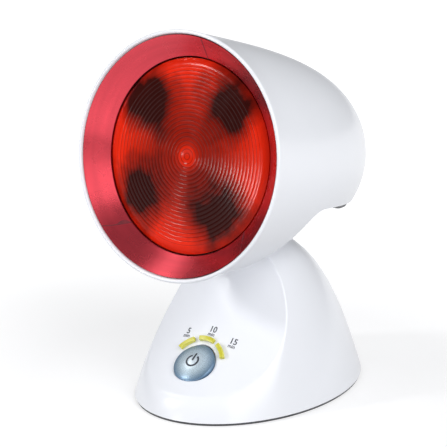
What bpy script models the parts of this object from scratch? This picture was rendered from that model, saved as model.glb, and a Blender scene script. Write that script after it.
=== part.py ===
"""Infrared heat lamp for a table: a tilting round head on a domed base.

The lamp faces -Y and stands on z = 0, with its origin under the middle of the base.
All lengths are in metres. The head is drawn about its hinge, with the lamp's axis
level, and is then tilted as a whole. The button is drawn about its own centre.
"""

import math

import bmesh
import bpy
from mathutils import Matrix, Vector

# Clearances and construction
GAP = 0.0003
OVERRUN = 0.004
WELD = 0.000005
LARGE_STEPS = 44
MEDIUM_STEPS = 24
SMALL_STEPS = 14
SCREW_STEPS = 10
CORNER_STEPS = 3
WIRE_STEPS = 8
SHARP_ANGLE = math.radians(30)

# Base shell: an elliptical dome
BASE_HALF_WIDTH = 0.066
BASE_HALF_DEPTH = 0.0909
BASE_HEIGHT = 0.1006
BASE_WALL = 0.0025
BASE_CLEAR_OF_FLOOR = 0.002
DOME_POWER = 2.65
DOME_RINGS = 12
DOME_SPREAD = 1.2

# Scoop in the front of the dome, which carries the button
SCOOP_RADIUS = 0.1239
SCOOP_CROWN_RADIUS = 0.1328
SCOOP_HALF_WIDTH = 0.072
SCOOP_STEPS = 72
SCOOP_BANDS = 10

# Base plate, its screws and its feet
PLATE_THICKNESS = 0.003
POST_RADIUS = 0.0036
FRONT_POST_SHARE = 0.836
REAR_POST_SIDE_INSET = 0.028
REAR_POST_END_INSET = 0.0449
SCREW_HEAD_RADIUS = 0.0028
SCREW_HEAD_HEIGHT = 0.0016
SCREW_SHANK_RADIUS = 0.0014
SCREW_SLOT_WIDTH = 0.0008
SCREW_SLOT_DEPTH = 0.0007
SCREW_CROWN_SHARES = (0.75, 0.6)
PLATE_SCREW_LENGTH = 0.009
PLATE_SCREW_RECESS = 0.002
FOOT_RADIUS = 0.006
FOOT_SIDE_INSET = 0.036
FOOT_END_INSET = 0.0289
FOOT_RECESS = 0.0012
FOOT_EDGE = 0.0008

# Hinge between the base and the head
HINGE_BACK = 0.010
HINGE_SINK = 0.0166
HEAD_TILT = math.radians(9.5)
DRUM_RADIUS = 0.022
DRUM_HALF_WIDTH = 0.014
DRUM_EDGE = 0.001
DRUM_SLOT_CLEARANCE = 0.0006
NECK_HALF_WIDTH = 0.0115
NECK_HALF_DEPTH = 0.008
NECK_CORNER = 0.003
FLANGE_HALF_WIDTH = 0.019
FLANGE_HALF_DEPTH = 0.013
FLANGE_THICKNESS = 0.003
FLANGE_CORNER = 0.005
FLANGE_SCREW_ASIDE = 0.015
FLANGE_SCREW_ALONG = 0.009
FLANGE_SCREW_LENGTH = 0.009
FLANGE_POST_HEIGHT = 0.005
BRACKET_INSIDE = 0.018
BRACKET_SHEET = 0.002
BRACKET_HALF_DEPTH = 0.013
BRACKET_EAR_RADIUS = 0.006
BRACKET_SHOULDER = 0.018
BRACKET_SCREW_ASIDE = 0.011
BRACKET_SCREW_ALONG = 0.008
BRACKET_SCREW_LENGTH = 0.0042
PIN_RADIUS = 0.0025
PIN_HEAD_RADIUS = 0.0042
PIN_HEAD_THICKNESS = 0.0016
PIN_END_THICKNESS = 0.0012
BUSH_RADIUS = 0.0055
DETENT_RADIUS = 0.0095
DETENT_THICKNESS = 0.002
DETENT_NOTCHES = 5
DETENT_PITCH = math.radians(10)
DETENT_NOTCH_DEPTH = 0.0009
DETENT_NOTCH_SHARE = 0.5
DETENT_STEPS = 18
BRACKET_EAR_STEPS = 8
LEAF_THICKNESS = 0.0006
LEAF_RUN = 0.012
LEAF_BUMP = 0.0022
LEAF_BUMP_HALF_WIDTH = 0.0025
LEAF_CREST_SHARE = 0.25
LEAF_TAB_WIDTH = 0.006
LEAF_TAB_DROP = 0.009
RIVET_RADIUS = 0.0011
RIVET_HEAD_RADIUS = 0.002
RIVET_HEAD_THICKNESS = 0.0007

# Button, timer windows and the board behind them
BUTTON_FORWARD_SHARE = 0.6623
BUTTON_HEIGHT = 0.02913
BUTTON_SLOPE = math.radians(36.44)
BUTTON_RADIUS = 0.014
BUTTON_CROWN = 0.0028
BUTTON_CROWN_STEPS = 5
BUTTON_EDGE_STAND = 0.0006
BUTTON_RING_GAP = 0.0004
BUTTON_TRAVEL = 0.0015
BUTTON_WALL = 0.0015
BUTTON_FLANGE_REACH = 0.0015
BUTTON_FLANGE_THICKNESS = 0.001
PLUNGER_RADIUS = 0.0018
WINDOW_RADIUS = 0.0188
WINDOW_WIDTH = 0.003
WINDOW_HALF_ANGLE = math.radians(17)
WINDOW_ANGLES = {"05": math.radians(135), "10": math.radians(90), "15": math.radians(45)}
WINDOW_STAND = 0.0002
WINDOW_DEPTH = 0.0022
WINDOW_STEPS = 6
BOARD_THICKNESS = 0.0016
BOARD_SINK = 0.0125
BOARD_HALF_WIDTH = 0.027
BOARD_HALF_HEIGHT = 0.0225
BOARD_SHIFT = 0.004
BOARD_CORNER = 0.002
BOARD_POST_RADIUS = 0.0028
BOARD_POST_ASIDE = 0.0235
BOARD_POST_SHARE = 0.72
BOARD_SCREW_LENGTH = 0.005
SWITCH_SIZE = 0.0084
SWITCH_HEIGHT = 0.0034
LED_RADIUS = 0.0021
LED_HEIGHT = 0.0036

# Supply board in the back of the base
SUPPLY_BACK_SHARE = 0.539
SUPPLY_HALF_WIDTH = 0.027
SUPPLY_DEPTH_SHARE = 0.209
SUPPLY_STANDOFF = 0.005
SUPPLY_POST_RADIUS = 0.003
SUPPLY_POST_SHARE = 0.82
SUPPLY_SCREW_LENGTH = 0.005
RELAY_SIZE = Vector((0.019, 0.0155, 0.0155))
RELAY_ASIDE = -0.013
CAPACITOR_SIZE = Vector((0.0065, 0.018, 0.013))
CAPACITOR_ASIDE = 0.003
FUSE_RADIUS = 0.0026
FUSE_LENGTH = 0.020
FUSE_CAP_LENGTH = 0.005
FUSE_WAIST_SHARE = 0.88
FUSE_ASIDE = 0.012
TERMINAL_SIZE = Vector((0.007, 0.0155, 0.009))
TERMINAL_ASIDE = 0.0205
TERMINAL_PORT_RADIUS = 0.0016
TERMINAL_PORT_PITCH = 0.0075
PART_CORNER = 0.0008

# Gland for the mains lead, low in the back
GLAND_HEIGHT = 0.017
GLAND_RADIUS = 0.0055
GLAND_BORE = 0.0034
GLAND_COLLAR_RADIUS = 0.0078
GLAND_COLLAR_THICKNESS = 0.002
GLAND_STAND = 0.0027
GLAND_RINGS = 3
GLAND_GROOVE = 0.0008
GLAND_CUTTER_REACH = 0.024

# Lamp head: a turned shell, open at the front
RIM_REACH = 0.102
AXIS_RISE = 0.0683
HEAD_RADIUS = 0.0772
HEAD_LENGTH = 0.165
HEAD_WALL = 0.0025
HEAD_TAPER_SHARE = 0.24
HEAD_EASE_SHARE = 0.12
HEAD_SQUARENESS = 3
HEAD_RINGS = 11
RIM_STEPS = 3

# Cut under the head, which clears the base when the head tilts back
CUT_DROP = 0.0259
CUT_START = 0.0775
CUT_BEND_RADIUS = 0.022
CUT_ANGLE = math.radians(55)
CUT_BEND_STEPS = 6
CUT_RUN = 0.060

# Lamp: a pressed glass reflector lamp with a screw cap
LENS_INSET = 0.0169
LENS_FACE_DEPTH = 0.0125
LENS_EDGE_DEPTH = 0.0142
LENS_THICKNESS = 0.003
LENS_SKIRT = 0.0045
LENS_BAND = 0.0055
LENS_RIBS = 3
LENS_RIB_HEIGHT = 0.0005
LENS_CENTRE_RADIUS = 0.0045
REFLECTOR_VERTEX = 0.084
REFLECTOR_GLASS = 0.0026
REFLECTOR_RINGS = 6
NECK_GLASS_RADIUS = 0.0165
NECK_GLASS_END = 0.1147
CAP_RADIUS = 0.0132
CAP_END = 0.139
CAP_WALL = 0.0006
CAP_THREADS = 3
CAP_THREAD_DEPTH = 0.0008
INSULATOR_LENGTH = 0.003
CONTACT_LENGTH = 0.0024
CONTACT_RADIUS = 0.0048
STEM_RADIUS = 0.0065
STEM_FRONT = 0.096
WIRE_RADIUS = 0.0006
WIRE_ASIDE = 0.0045
FILAMENT_RADIUS = 0.0012
FILAMENT_HALF_LENGTH = 0.006

# Lamp holder and what carries it
HOLDER_RADIUS = 0.0195
HOLDER_FRONT = 0.116
HOLDER_FLOOR = 0.006
HOLDER_EDGE = 0.0012
SLEEVE_WALL = 0.0007
SPRING_CONTACT_THICKNESS = 0.0012
SPRING_CONTACT_HALF_LENGTH = 0.011
SPRING_CONTACT_HALF_WIDTH = 0.003
BOLT_RADIUS = 0.0047
BOLT_BORE = 0.003
BOLT_ACROSS_FLATS = 0.014
BOLT_HEAD_THICKNESS = 0.003
BOLT_SIDES = 6
CARRIER_ROOM = 0.001
CARRIER_SHEET = 0.0018
CARRIER_POST_ROOM = 0.005
CARRIER_POST_RADIUS = 0.0038
CARRIER_SCREW_LENGTH = 0.0048
CARRIER_SCREW_ANGLES = (math.radians(45), math.radians(135))

# Reflective liner between the rim and the lamp
LINER_FRONT = 0.0016
LINER_SHEET = 0.001
LAMP_ROOM = 0.002
LINER_THROAT_ROOM = 0.0011
LINER_THROAT_DEPTH = 0.0136
LINER_COLLAR_END = 0.024
LINER_CLIP_DEPTH = 0.0195
LINER_CLIP_WIDTH = 0.008
LINER_CLIP_LENGTH = 0.003
LINER_CLIP_ANGLES = (math.radians(90), math.radians(210), math.radians(330))

# Vent cover on the level part of the cut
VENT_START = 0.094
VENT_END = 0.141
VENT_BELLY = 0.0028
VENT_EDGE = 0.0006
VENT_INSET = 0.0012
VENT_STEPS = 8
VENT_SLOTS = 4
VENT_SLOT_PITCH = 0.0052
VENT_SLOT_WIDTH = 0.0024
VENT_SLOT_HALF_LENGTH = 0.022
VENT_SLOT_FIRST = 0.1215

# Finishes
WHITE_PLASTIC = {"colour": (0.86, 0.86, 0.90), "roughness": 0.25, "metallic": 0.0}
DARK_PLASTIC = {"colour": (0.10, 0.10, 0.11), "roughness": 0.6, "metallic": 0.0}
GLOSSY_BLACK = {"colour": (0.02, 0.02, 0.02), "roughness": 0.15, "metallic": 0.0}
RUBBER = {"colour": (0.03, 0.03, 0.03), "roughness": 0.85, "metallic": 0.0}
STEEL = {"colour": (0.62, 0.63, 0.65), "roughness": 0.35, "metallic": 1.0}
TUNGSTEN = {"colour": (0.40, 0.39, 0.38), "roughness": 0.5, "metallic": 1.0}
BRASS = {"colour": (0.75, 0.60, 0.30), "roughness": 0.3, "metallic": 1.0}
CIRCUIT_BOARD = {"colour": (0.05, 0.22, 0.10), "roughness": 0.5, "metallic": 0.0}
GREEN_PLASTIC = {"colour": (0.08, 0.35, 0.16), "roughness": 0.4, "metallic": 0.0}
AMBER_PLASTIC = {"colour": (0.95, 0.78, 0.10), "roughness": 0.2, "metallic": 0.0}
RED_GLASS = {"colour": (0.75, 0.05, 0.02), "roughness": 0.1, "metallic": 0.0}
CLEAR_GLASS = {"colour": (0.90, 0.92, 0.92), "roughness": 0.05, "metallic": 0.0}
SILVER_BLUE = {"colour": (0.38, 0.48, 0.58), "roughness": 0.3, "metallic": 0.4}
CRIMSON_FOIL = {"colour": (0.72, 0.22, 0.26), "roughness": 0.25, "metallic": 0.8}
CERAMIC = {"colour": (0.88, 0.87, 0.82), "roughness": 0.35, "metallic": 0.0}

# Sizes and places that follow from the ones above
BUTTON_FORWARD = BASE_HALF_DEPTH * BUTTON_FORWARD_SHARE
SCOOP_AXIS_FORWARD = BUTTON_FORWARD + SCOOP_RADIUS * math.sin(BUTTON_SLOPE)
SCOOP_AXIS_HEIGHT = BUTTON_HEIGHT + SCOOP_RADIUS * math.cos(BUTTON_SLOPE)
HINGE_HEIGHT = BASE_HEIGHT - HINGE_SINK
PLATE_TOP = BASE_CLEAR_OF_FLOOR + PLATE_THICKNESS
SCREW_HOLE_RADIUS = SCREW_SHANK_RADIUS + GAP
SUPPLY_BACK = BASE_HALF_DEPTH * SUPPLY_BACK_SHARE
SUPPLY_HALF_DEPTH = BASE_HALF_DEPTH * SUPPLY_DEPTH_SHARE
LENS_RADIUS = HEAD_RADIUS - LENS_INSET
LINER_THROAT_RADIUS = LENS_RADIUS + LINER_THROAT_ROOM
CARRIER_POST_CIRCLE = HOLDER_RADIUS + CARRIER_POST_ROOM
REFLECTOR_FRONT = LENS_EDGE_DEPTH + LENS_SKIRT + GAP
REFLECTOR_DEPTH = REFLECTOR_VERTEX - REFLECTOR_FRONT
REFLECTOR_FOCUS = (LENS_RADIUS - REFLECTOR_GLASS) ** 2 / (4 * REFLECTOR_DEPTH)


def clear_scene():
    """Remove every object, so that the file holds this lamp alone."""
    for obj in list(bpy.data.objects):
        bpy.data.objects.remove(obj, do_unlink=True)


# Mesh helpers

def store(name, bm, frame=Matrix()):
    """Turn a bmesh into an object, with its points placed by a frame."""
    bmesh.ops.transform(bm, matrix=frame, verts=bm.verts)
    bmesh.ops.recalc_face_normals(bm, faces=bm.faces)
    mesh = bpy.data.meshes.new(name)
    bm.to_mesh(mesh)
    bm.free()
    obj = bpy.data.objects.new(name, mesh)
    bpy.context.collection.objects.link(obj)
    return obj


def turned(name, outline, steps=SMALL_STEPS, frame=Matrix()):
    """Turn an outline of (radius, height) points about the z axis."""
    bm = bmesh.new()
    verts = [bm.verts.new((radius, 0, height)) for radius, height in outline]
    for first, second in zip(verts, verts[1:]):
        bm.edges.new((first, second))
    if outline[0][0] > 0:
        bm.edges.new((verts[-1], verts[0]))
    bmesh.ops.spin(
        bm,
        geom=bm.verts[:] + bm.edges[:],
        axis=(0, 0, 1),
        cent=(0, 0, 0),
        steps=steps,
        angle=2 * math.pi,
        use_merge=True,
    )
    bmesh.ops.remove_doubles(bm, verts=bm.verts, dist=WELD)
    for pole, ring in ((outline[0], outline[1]), (outline[-1], outline[-2])):
        if pole[0] == 0 and pole[1] == ring[1]:
            middle = [v for v in bm.verts if (v.co - Vector((0, 0, pole[1]))).length < WELD]
            bmesh.ops.dissolve_verts(bm, verts=middle)
    return store(name, bm, frame)


def rod(name, radius, low, high, steps=SMALL_STEPS, frame=Matrix()):
    """A plain cylinder along z."""
    return turned(name, [(0, low), (radius, low), (radius, high), (0, high)], steps, frame)


def tube(name, inner, outer, low, high, steps=SMALL_STEPS, frame=Matrix()):
    """A plain ring along z."""
    outline = [(inner, low), (outer, low), (outer, high), (inner, high)]
    return turned(name, outline, steps, frame)


def prism(name, outline, low, high, frame=Matrix()):
    """Extrude an outline of (x, y) points along z."""
    bm = bmesh.new()
    verts = [bm.verts.new((x, y, low)) for x, y in outline]
    face = bm.faces.new(verts)
    grown = bmesh.ops.extrude_face_region(bm, geom=[face])
    moved = [item for item in grown["geom"] if isinstance(item, bmesh.types.BMVert)]
    bmesh.ops.translate(bm, verts=moved, vec=(0, 0, high - low))
    return store(name, bm, frame)


def block(name, low, high, frame=Matrix()):
    """A box between two corners."""
    outline = [(low[0], low[1]), (high[0], low[1]), (high[0], high[1]), (low[0], high[1])]
    return prism(name, outline, low[2], high[2], frame)


def polar(radius, angle):
    """The point at a radius and an angle."""
    return radius * math.cos(angle), radius * math.sin(angle)


def arc(centre, radius, start, end, steps):
    """Points on an arc, both ends included."""
    points = []
    for step in range(steps + 1):
        x, y = polar(radius, start + (end - start) * step / steps)
        points.append((centre[0] + x, centre[1] + y))
    return points


def rounded(half_width, half_height, corner):
    """A rectangle with round corners, about its middle."""
    points = []
    corners = ((1, -1, -90), (1, 1, 0), (-1, 1, 90), (-1, -1, 180))
    for side, end, start in corners:
        centre = (side * (half_width - corner), end * (half_height - corner))
        turn = math.radians(start)
        points += arc(centre, corner, turn, turn + math.pi / 2, CORNER_STEPS)
    return points


def rounded_block(name, size, corner, frame=Matrix()):
    """A box with round upright corners that stands on z = 0."""
    outline = rounded(size[0] / 2, size[1] / 2, corner)
    return prism(name, outline, 0, size[2], frame)


def numbered(name, pieces):
    """Name the copies of one piece in their order."""
    for number, piece in enumerate(pieces, 1):
        piece.name = name + "_" + str(number)
    return pieces


def combine(target, tool, operation):
    """Apply one Boolean to a target, and remove its tool."""
    modifier = target.modifiers.new("combine", "BOOLEAN")
    modifier.operation = operation
    modifier.solver = "EXACT"
    modifier.object = tool
    bpy.context.view_layer.update()
    graph = bpy.context.evaluated_depsgraph_get()
    mesh = bpy.data.meshes.new_from_object(target.evaluated_get(graph))
    bm = bmesh.new()
    bm.from_mesh(mesh)
    bmesh.ops.remove_doubles(bm, verts=bm.verts, dist=WELD)
    bmesh.ops.dissolve_degenerate(bm, edges=bm.edges, dist=WELD)
    bm.to_mesh(mesh)
    bm.free()
    target.modifiers.clear()
    target.data = mesh
    bpy.data.objects.remove(tool, do_unlink=True)
    return target


def cut(target, *tools):
    """Take one or more bodies out of a target."""
    for tool in tools:
        combine(target, tool, "DIFFERENCE")
    return target


def fused(target, *tools):
    """Make one body of several that overlap."""
    for tool in tools:
        combine(target, tool, "UNION")
    return target


def screw(name, length, frame=Matrix()):
    """A pan head screw: its head stands on z = 0 and its shank points down."""
    crown_share, rim_share = SCREW_CROWN_SHARES
    outline = [
        (0, -length),
        (SCREW_SHANK_RADIUS, -length),
        (SCREW_SHANK_RADIUS, 0),
        (SCREW_HEAD_RADIUS, 0),
        (SCREW_HEAD_RADIUS, SCREW_HEAD_HEIGHT * rim_share),
        (SCREW_HEAD_RADIUS * crown_share, SCREW_HEAD_HEIGHT),
        (0, SCREW_HEAD_HEIGHT),
    ]
    body = turned(name, outline, SCREW_STEPS, frame)
    half = SCREW_SLOT_WIDTH / 2
    reach = SCREW_HEAD_RADIUS + SCREW_HEAD_HEIGHT
    low = (-reach, -half, SCREW_HEAD_HEIGHT - SCREW_SLOT_DEPTH)
    high = (reach, half, SCREW_HEAD_HEIGHT * 2)
    return cut(body, block("slot", low, high, frame))


def turn(axis, degrees):
    """A turn about one axis."""
    return Matrix.Rotation(math.radians(degrees), 4, axis)


def shift(x=0, y=0, z=0):
    """A move."""
    return Matrix.Translation((x, y, z))


# Shapes that several pieces share

def dome_share(height, full_height):
    """How wide the dome is at a height, as a share of its full width."""
    return max(0, 1 - height / full_height) ** (1 / DOME_POWER)


def dome(name, inset, bottom):
    """A solid elliptical dome, drawn in by an inset on every side but its floor."""
    half_width = BASE_HALF_WIDTH - inset
    height = BASE_HEIGHT - inset
    widest = dome_share(bottom, height)
    outline = [(0, bottom)]
    for ring in range(DOME_RINGS):
        share = widest * (1 - (ring / DOME_RINGS) ** DOME_SPREAD)
        outline.append((half_width * share, height * (1 - share ** DOME_POWER)))
    outline.append((0, height))
    stretch = (BASE_HALF_DEPTH - inset) / half_width
    return turned(name, outline, LARGE_STEPS, Matrix.Diagonal((1, stretch, 1, 1)))


def scoop(name, depth):
    """The spool that hollows the dome's front, swollen by a depth into the wall."""
    crown = SCOOP_CROWN_RADIUS - depth
    middle = SCOOP_RADIUS + SCOOP_CROWN_RADIUS
    outline = [(0, -SCOOP_HALF_WIDTH)]
    for band in range(SCOOP_BANDS + 1):
        aside = SCOOP_HALF_WIDTH * (2 * band / SCOOP_BANDS - 1)
        outline.append((middle - math.sqrt(crown ** 2 - aside ** 2), aside))
    outline.append((0, SCOOP_HALF_WIDTH))
    frame = shift(y=-SCOOP_AXIS_FORWARD, z=SCOOP_AXIS_HEIGHT) @ turn("Y", 90)
    return turned(name, outline, SCOOP_STEPS, frame)


def button_frame():
    """The button's centre on the scoop, with z out of the surface and y up the slope."""
    return shift(y=-BUTTON_FORWARD, z=BUTTON_HEIGHT) @ Matrix.Rotation(BUTTON_SLOPE, 4, "X")


def head_outline_radius(depth, inset):
    """The head shell's radius at a depth behind its rim."""
    share = min(1, depth / (HEAD_LENGTH - inset))
    taper = 1 - HEAD_TAPER_SHARE * share + HEAD_EASE_SHARE * share ** 2
    return (HEAD_RADIUS - inset) * (1 - share ** HEAD_SQUARENESS) ** (1 / HEAD_SQUARENESS) * taper


def head_depths(inset, start):
    """Depths from a start to the shell's tail, closer together where it rounds off."""
    length = HEAD_LENGTH - inset
    power = HEAD_SQUARENESS / 2
    first = math.asin((start / length) ** power)
    depths = []
    for ring in range(HEAD_RINGS + 1):
        angle = first + (math.pi / 2 - first) * ring / HEAD_RINGS
        depths.append(length * math.sin(angle) ** (1 / power))
    return depths


def lamp_frame():
    """The rim's centre in the head's own frame: z backwards along the lamp, y up."""
    return shift(y=-RIM_REACH, z=AXIS_RISE) @ turn("X", -90) @ turn("Z", 180)


def side_frame(y=0, z=0):
    """A side view: x backwards and y up from a point, with z along the lamp's width."""
    columns = Matrix(((0, 0, 1, 0), (1, 0, 0, 0), (0, 1, 0, 0), (0, 0, 0, 1)))
    return shift(y=y, z=z) @ columns


def across_frame(y=0, z=0):
    """A turned piece's frame with its axis along the lamp's width."""
    return shift(y=y, z=z) @ turn("Y", 90)


def head_solid(name, inset):
    """The head's turned form as a solid, with half of the rim's round lip."""
    lip = HEAD_WALL / 2
    crest = HEAD_RADIUS - lip
    front = -math.pi / 2
    if inset > 0:
        outline = [(0, -OVERRUN), (crest, -OVERRUN)]
        outline += arc((crest, lip), lip, front, front - math.pi / 2, RIM_STEPS)
    else:
        outline = [(0, 0)] + arc((crest, lip), lip, front, front + math.pi / 2, RIM_STEPS)
    depths = head_depths(inset, HEAD_WALL)
    for depth in depths[:-1]:
        outline.append((head_outline_radius(depth, inset), depth))
    outline.append((0, depths[-1]))
    return turned(name, outline, LARGE_STEPS, lamp_frame())


def under_cut(name, rise):
    """What the cut under the head takes away, raised by a rise into the wall."""
    level = -CUT_DROP + rise
    centre = (CUT_START, -CUT_DROP - CUT_BEND_RADIUS)
    bend = arc(
        centre,
        CUT_BEND_RADIUS + rise,
        math.pi / 2,
        math.pi / 2 + CUT_ANGLE,
        CUT_BEND_STEPS,
    )
    last = bend[-1]
    front = (last[0] - CUT_RUN * math.cos(CUT_ANGLE), last[1] - CUT_RUN * math.sin(CUT_ANGLE))
    tail = HEAD_LENGTH + OVERRUN
    outline = bend + [front, (tail, front[1]), (tail, level)]
    half = HEAD_RADIUS + OVERRUN
    return prism(name, outline, -half, half, side_frame(-RIM_REACH, AXIS_RISE))


def reflector_radius(depth, grown=0):
    """The lamp glass's outer radius at a depth behind the rim."""
    from_vertex = max(0, REFLECTOR_VERTEX - depth)
    return 2 * math.sqrt(REFLECTOR_FOCUS * from_vertex) + REFLECTOR_GLASS + grown


def lamp_clearance(name, grown):
    """Room for the lamp's glass, as a solid that bulges into the cut."""
    outline = [(0, REFLECTOR_FRONT)]
    for ring in range(REFLECTOR_RINGS + 1):
        depth = REFLECTOR_FRONT + REFLECTOR_DEPTH * ring / REFLECTOR_RINGS
        radius = max(reflector_radius(depth), NECK_GLASS_RADIUS) + grown
        outline.append((radius, depth))
    outline.append((0, REFLECTOR_VERTEX))
    return turned(name, outline, MEDIUM_STEPS, lamp_frame())


def window_outline(middle, grown=0):
    """One timer window's curved outline about the button's centre."""
    half = WINDOW_HALF_ANGLE + grown / WINDOW_RADIUS
    far = WINDOW_RADIUS + WINDOW_WIDTH / 2 + grown
    near = WINDOW_RADIUS - WINDOW_WIDTH / 2 - grown
    outer = arc((0, 0), far, middle - half, middle + half, WINDOW_STEPS)
    return outer + arc((0, 0), near, middle + half, middle - half, WINDOW_STEPS)


def plate_screw_places():
    """Where the plate's screws stand, as (x, y)."""
    aside = BASE_HALF_WIDTH - REAR_POST_SIDE_INSET
    back = BASE_HALF_DEPTH - REAR_POST_END_INSET
    return [(0, -BASE_HALF_DEPTH * FRONT_POST_SHARE), (-aside, back), (aside, back)]


def board_screw_places():
    """Where the timer board's screws stand, in the button's frame."""
    along = BOARD_POST_SHARE * BOARD_HALF_HEIGHT
    return [(side * BOARD_POST_ASIDE, BOARD_SHIFT + side * along) for side in (-1, 1)]


def supply_screw_places():
    """Where the supply board's screws stand, as (x, y)."""
    aside = SUPPLY_HALF_WIDTH * SUPPLY_POST_SHARE
    along = SUPPLY_HALF_DEPTH * SUPPLY_POST_SHARE
    return [(side * aside, SUPPLY_BACK - side * along) for side in (-1, 1)]


def bracket_screw_places():
    """Where the hinge bracket's screws stand, as (x, y)."""
    along = BRACKET_SCREW_ALONG
    return [(side * BRACKET_SCREW_ASIDE, HINGE_BACK + side * along) for side in (-1, 1)]


def flange_screw_places():
    """Where the neck flange's screws stand, in the head's frame."""
    return [(side * FLANGE_SCREW_ASIDE, side * FLANGE_SCREW_ALONG) for side in (-1, 1)]


# Pieces of the base

def make_base_shell():
    shell = cut(dome("base_shell", 0, BASE_CLEAR_OF_FLOOR), scoop("scoop", 0))
    hollow = dome("hollow", BASE_WALL, BASE_CLEAR_OF_FLOOR - OVERRUN)
    cut(hollow, scoop("scoop_back", BASE_WALL))
    for x, y in plate_screw_places():
        post = rod("post", POST_RADIUS, PLATE_TOP + GAP, BASE_HEIGHT, frame=shift(x, y))
        cut(hollow, post)
    face = button_frame()
    for x, y in board_screw_places():
        low = -BOARD_SINK + GAP
        cut(hollow, rod("post", BOARD_POST_RADIUS, low, OVERRUN, frame=face @ shift(x, y)))
    cut(shell, hollow)
    for x, y in plate_screw_places():
        top = BASE_CLEAR_OF_FLOOR + PLATE_SCREW_RECESS + PLATE_SCREW_LENGTH
        cut(shell, rod("pilot", SCREW_HOLE_RADIUS, PLATE_TOP, top, frame=shift(x, y)))
    for x, y in board_screw_places():
        low = -BOARD_SINK - OVERRUN
        high = -BOARD_SINK - BOARD_THICKNESS + BOARD_SCREW_LENGTH
        cut(shell, rod("pilot", SCREW_HOLE_RADIUS, low, high, frame=face @ shift(x, y)))
    low = -BASE_WALL - OVERRUN
    radius = BUTTON_RADIUS + BUTTON_RING_GAP
    cut(shell, rod("button_hole", radius, low, OVERRUN, MEDIUM_STEPS, face))
    for middle in WINDOW_ANGLES.values():
        cut(shell, prism("window_hole", window_outline(middle, GAP), low, OVERRUN, face))
    cut(shell, drum_slot(), gland_hole())
    return shell


def drum_slot():
    """The slot in the dome's top, with room behind the drum for the neck."""
    radius = DRUM_RADIUS + DRUM_SLOT_CLEARANCE
    half = DRUM_HALF_WIDTH + DRUM_SLOT_CLEARANCE
    frame = across_frame(HINGE_BACK, HINGE_HEIGHT)
    slot = rod("drum_slot", radius, -half, half, MEDIUM_STEPS, frame)
    low = (-half, HINGE_BACK, HINGE_HEIGHT)
    high = (half, HINGE_BACK + radius, BASE_HEIGHT + OVERRUN)
    return fused(slot, block("neck_slot", low, high))


def gland_frame():
    """The gland's axis: backwards, low in the middle of the back."""
    return shift(z=GLAND_HEIGHT) @ turn("X", -90)


def gland_hole():
    low = BASE_HALF_DEPTH - GLAND_CUTTER_REACH
    high = BASE_HALF_DEPTH + OVERRUN
    return rod("gland_hole", GLAND_RADIUS + GAP, low, high, frame=gland_frame())


def make_cord_gland():
    inner_height = BASE_HEIGHT - BASE_WALL
    share = dome_share(GLAND_HEIGHT + GLAND_COLLAR_RADIUS, inner_height)
    half_width = (BASE_HALF_WIDTH - BASE_WALL) * share
    half_depth = (BASE_HALF_DEPTH - BASE_WALL) * share
    seat = half_depth * math.sqrt(1 - (GLAND_COLLAR_RADIUS / half_width) ** 2) - GAP
    front = seat - GLAND_COLLAR_THICKNESS
    wall = BASE_HALF_DEPTH * dome_share(GLAND_HEIGHT - GLAND_RADIUS, BASE_HEIGHT)
    end = wall + GLAND_STAND
    outline = [
        (GLAND_BORE, front),
        (GLAND_COLLAR_RADIUS, front),
        (GLAND_COLLAR_RADIUS, seat),
        (GLAND_RADIUS, seat),
    ]
    pitch = GLAND_STAND / (GLAND_RINGS + 1)
    for ring in range(GLAND_RINGS):
        start = wall + pitch * (ring + 1 / 2)
        outline.append((GLAND_RADIUS, start))
        outline.append((GLAND_RADIUS - GLAND_GROOVE, start + pitch / 4))
        outline.append((GLAND_RADIUS, start + pitch / 2))
    outline.append((GLAND_RADIUS, end - pitch / 2))
    outline.append((GLAND_RADIUS - GLAND_GROOVE, end))
    outline.append((GLAND_BORE, end))
    return turned("cord_gland", outline, SMALL_STEPS, gland_frame())


def make_base_plate():
    inner_height = BASE_HEIGHT - BASE_WALL
    share = dome_share(PLATE_TOP, inner_height)
    half_width = (BASE_HALF_WIDTH - BASE_WALL) * share - GAP
    half_depth = (BASE_HALF_DEPTH - BASE_WALL) * share - GAP
    stretch = Matrix.Diagonal((1, half_depth / half_width, 1, 1))
    plate = rod("base_plate", half_width, BASE_CLEAR_OF_FLOOR, PLATE_TOP, LARGE_STEPS, stretch)
    for x, y in supply_screw_places():
        middle = (BASE_CLEAR_OF_FLOOR + PLATE_TOP) / 2
        top = PLATE_TOP + SUPPLY_STANDOFF
        fused(plate, rod("standoff", SUPPLY_POST_RADIUS, middle, top, frame=shift(x, y)))
    for x, y in supply_screw_places():
        low = supply_level() - SUPPLY_SCREW_LENGTH
        high = PLATE_TOP + SUPPLY_STANDOFF + OVERRUN
        cut(plate, rod("pilot", SCREW_HOLE_RADIUS, low, high, frame=shift(x, y)))
    for x, y in bracket_screw_places():
        low = PLATE_TOP + GAP + BRACKET_SHEET - BRACKET_SCREW_LENGTH
        cut(plate, rod("pilot", SCREW_HOLE_RADIUS, low, PLATE_TOP + OVERRUN, frame=shift(x, y)))
    for x, y in plate_screw_places():
        low = BASE_CLEAR_OF_FLOOR - OVERRUN
        recess = BASE_CLEAR_OF_FLOOR + PLATE_SCREW_RECESS
        cut(plate, rod("hole", SCREW_HOLE_RADIUS, low, PLATE_TOP + OVERRUN, frame=shift(x, y)))
        cut(plate, rod("recess", SCREW_HEAD_RADIUS + GAP, low, recess, frame=shift(x, y)))
    for x, y in foot_places():
        low = BASE_CLEAR_OF_FLOOR - OVERRUN
        high = BASE_CLEAR_OF_FLOOR + FOOT_RECESS
        cut(plate, rod("foot_seat", FOOT_RADIUS + GAP, low, high, frame=shift(x, y)))
    return plate


def foot_places():
    """Where the feet stand, as (x, y)."""
    places = []
    for side in (-1, 1):
        for end in (-1, 1):
            aside = BASE_HALF_WIDTH - FOOT_SIDE_INSET
            along = BASE_HALF_DEPTH - FOOT_END_INSET
            places.append((side * aside, end * along))
    return places


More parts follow.
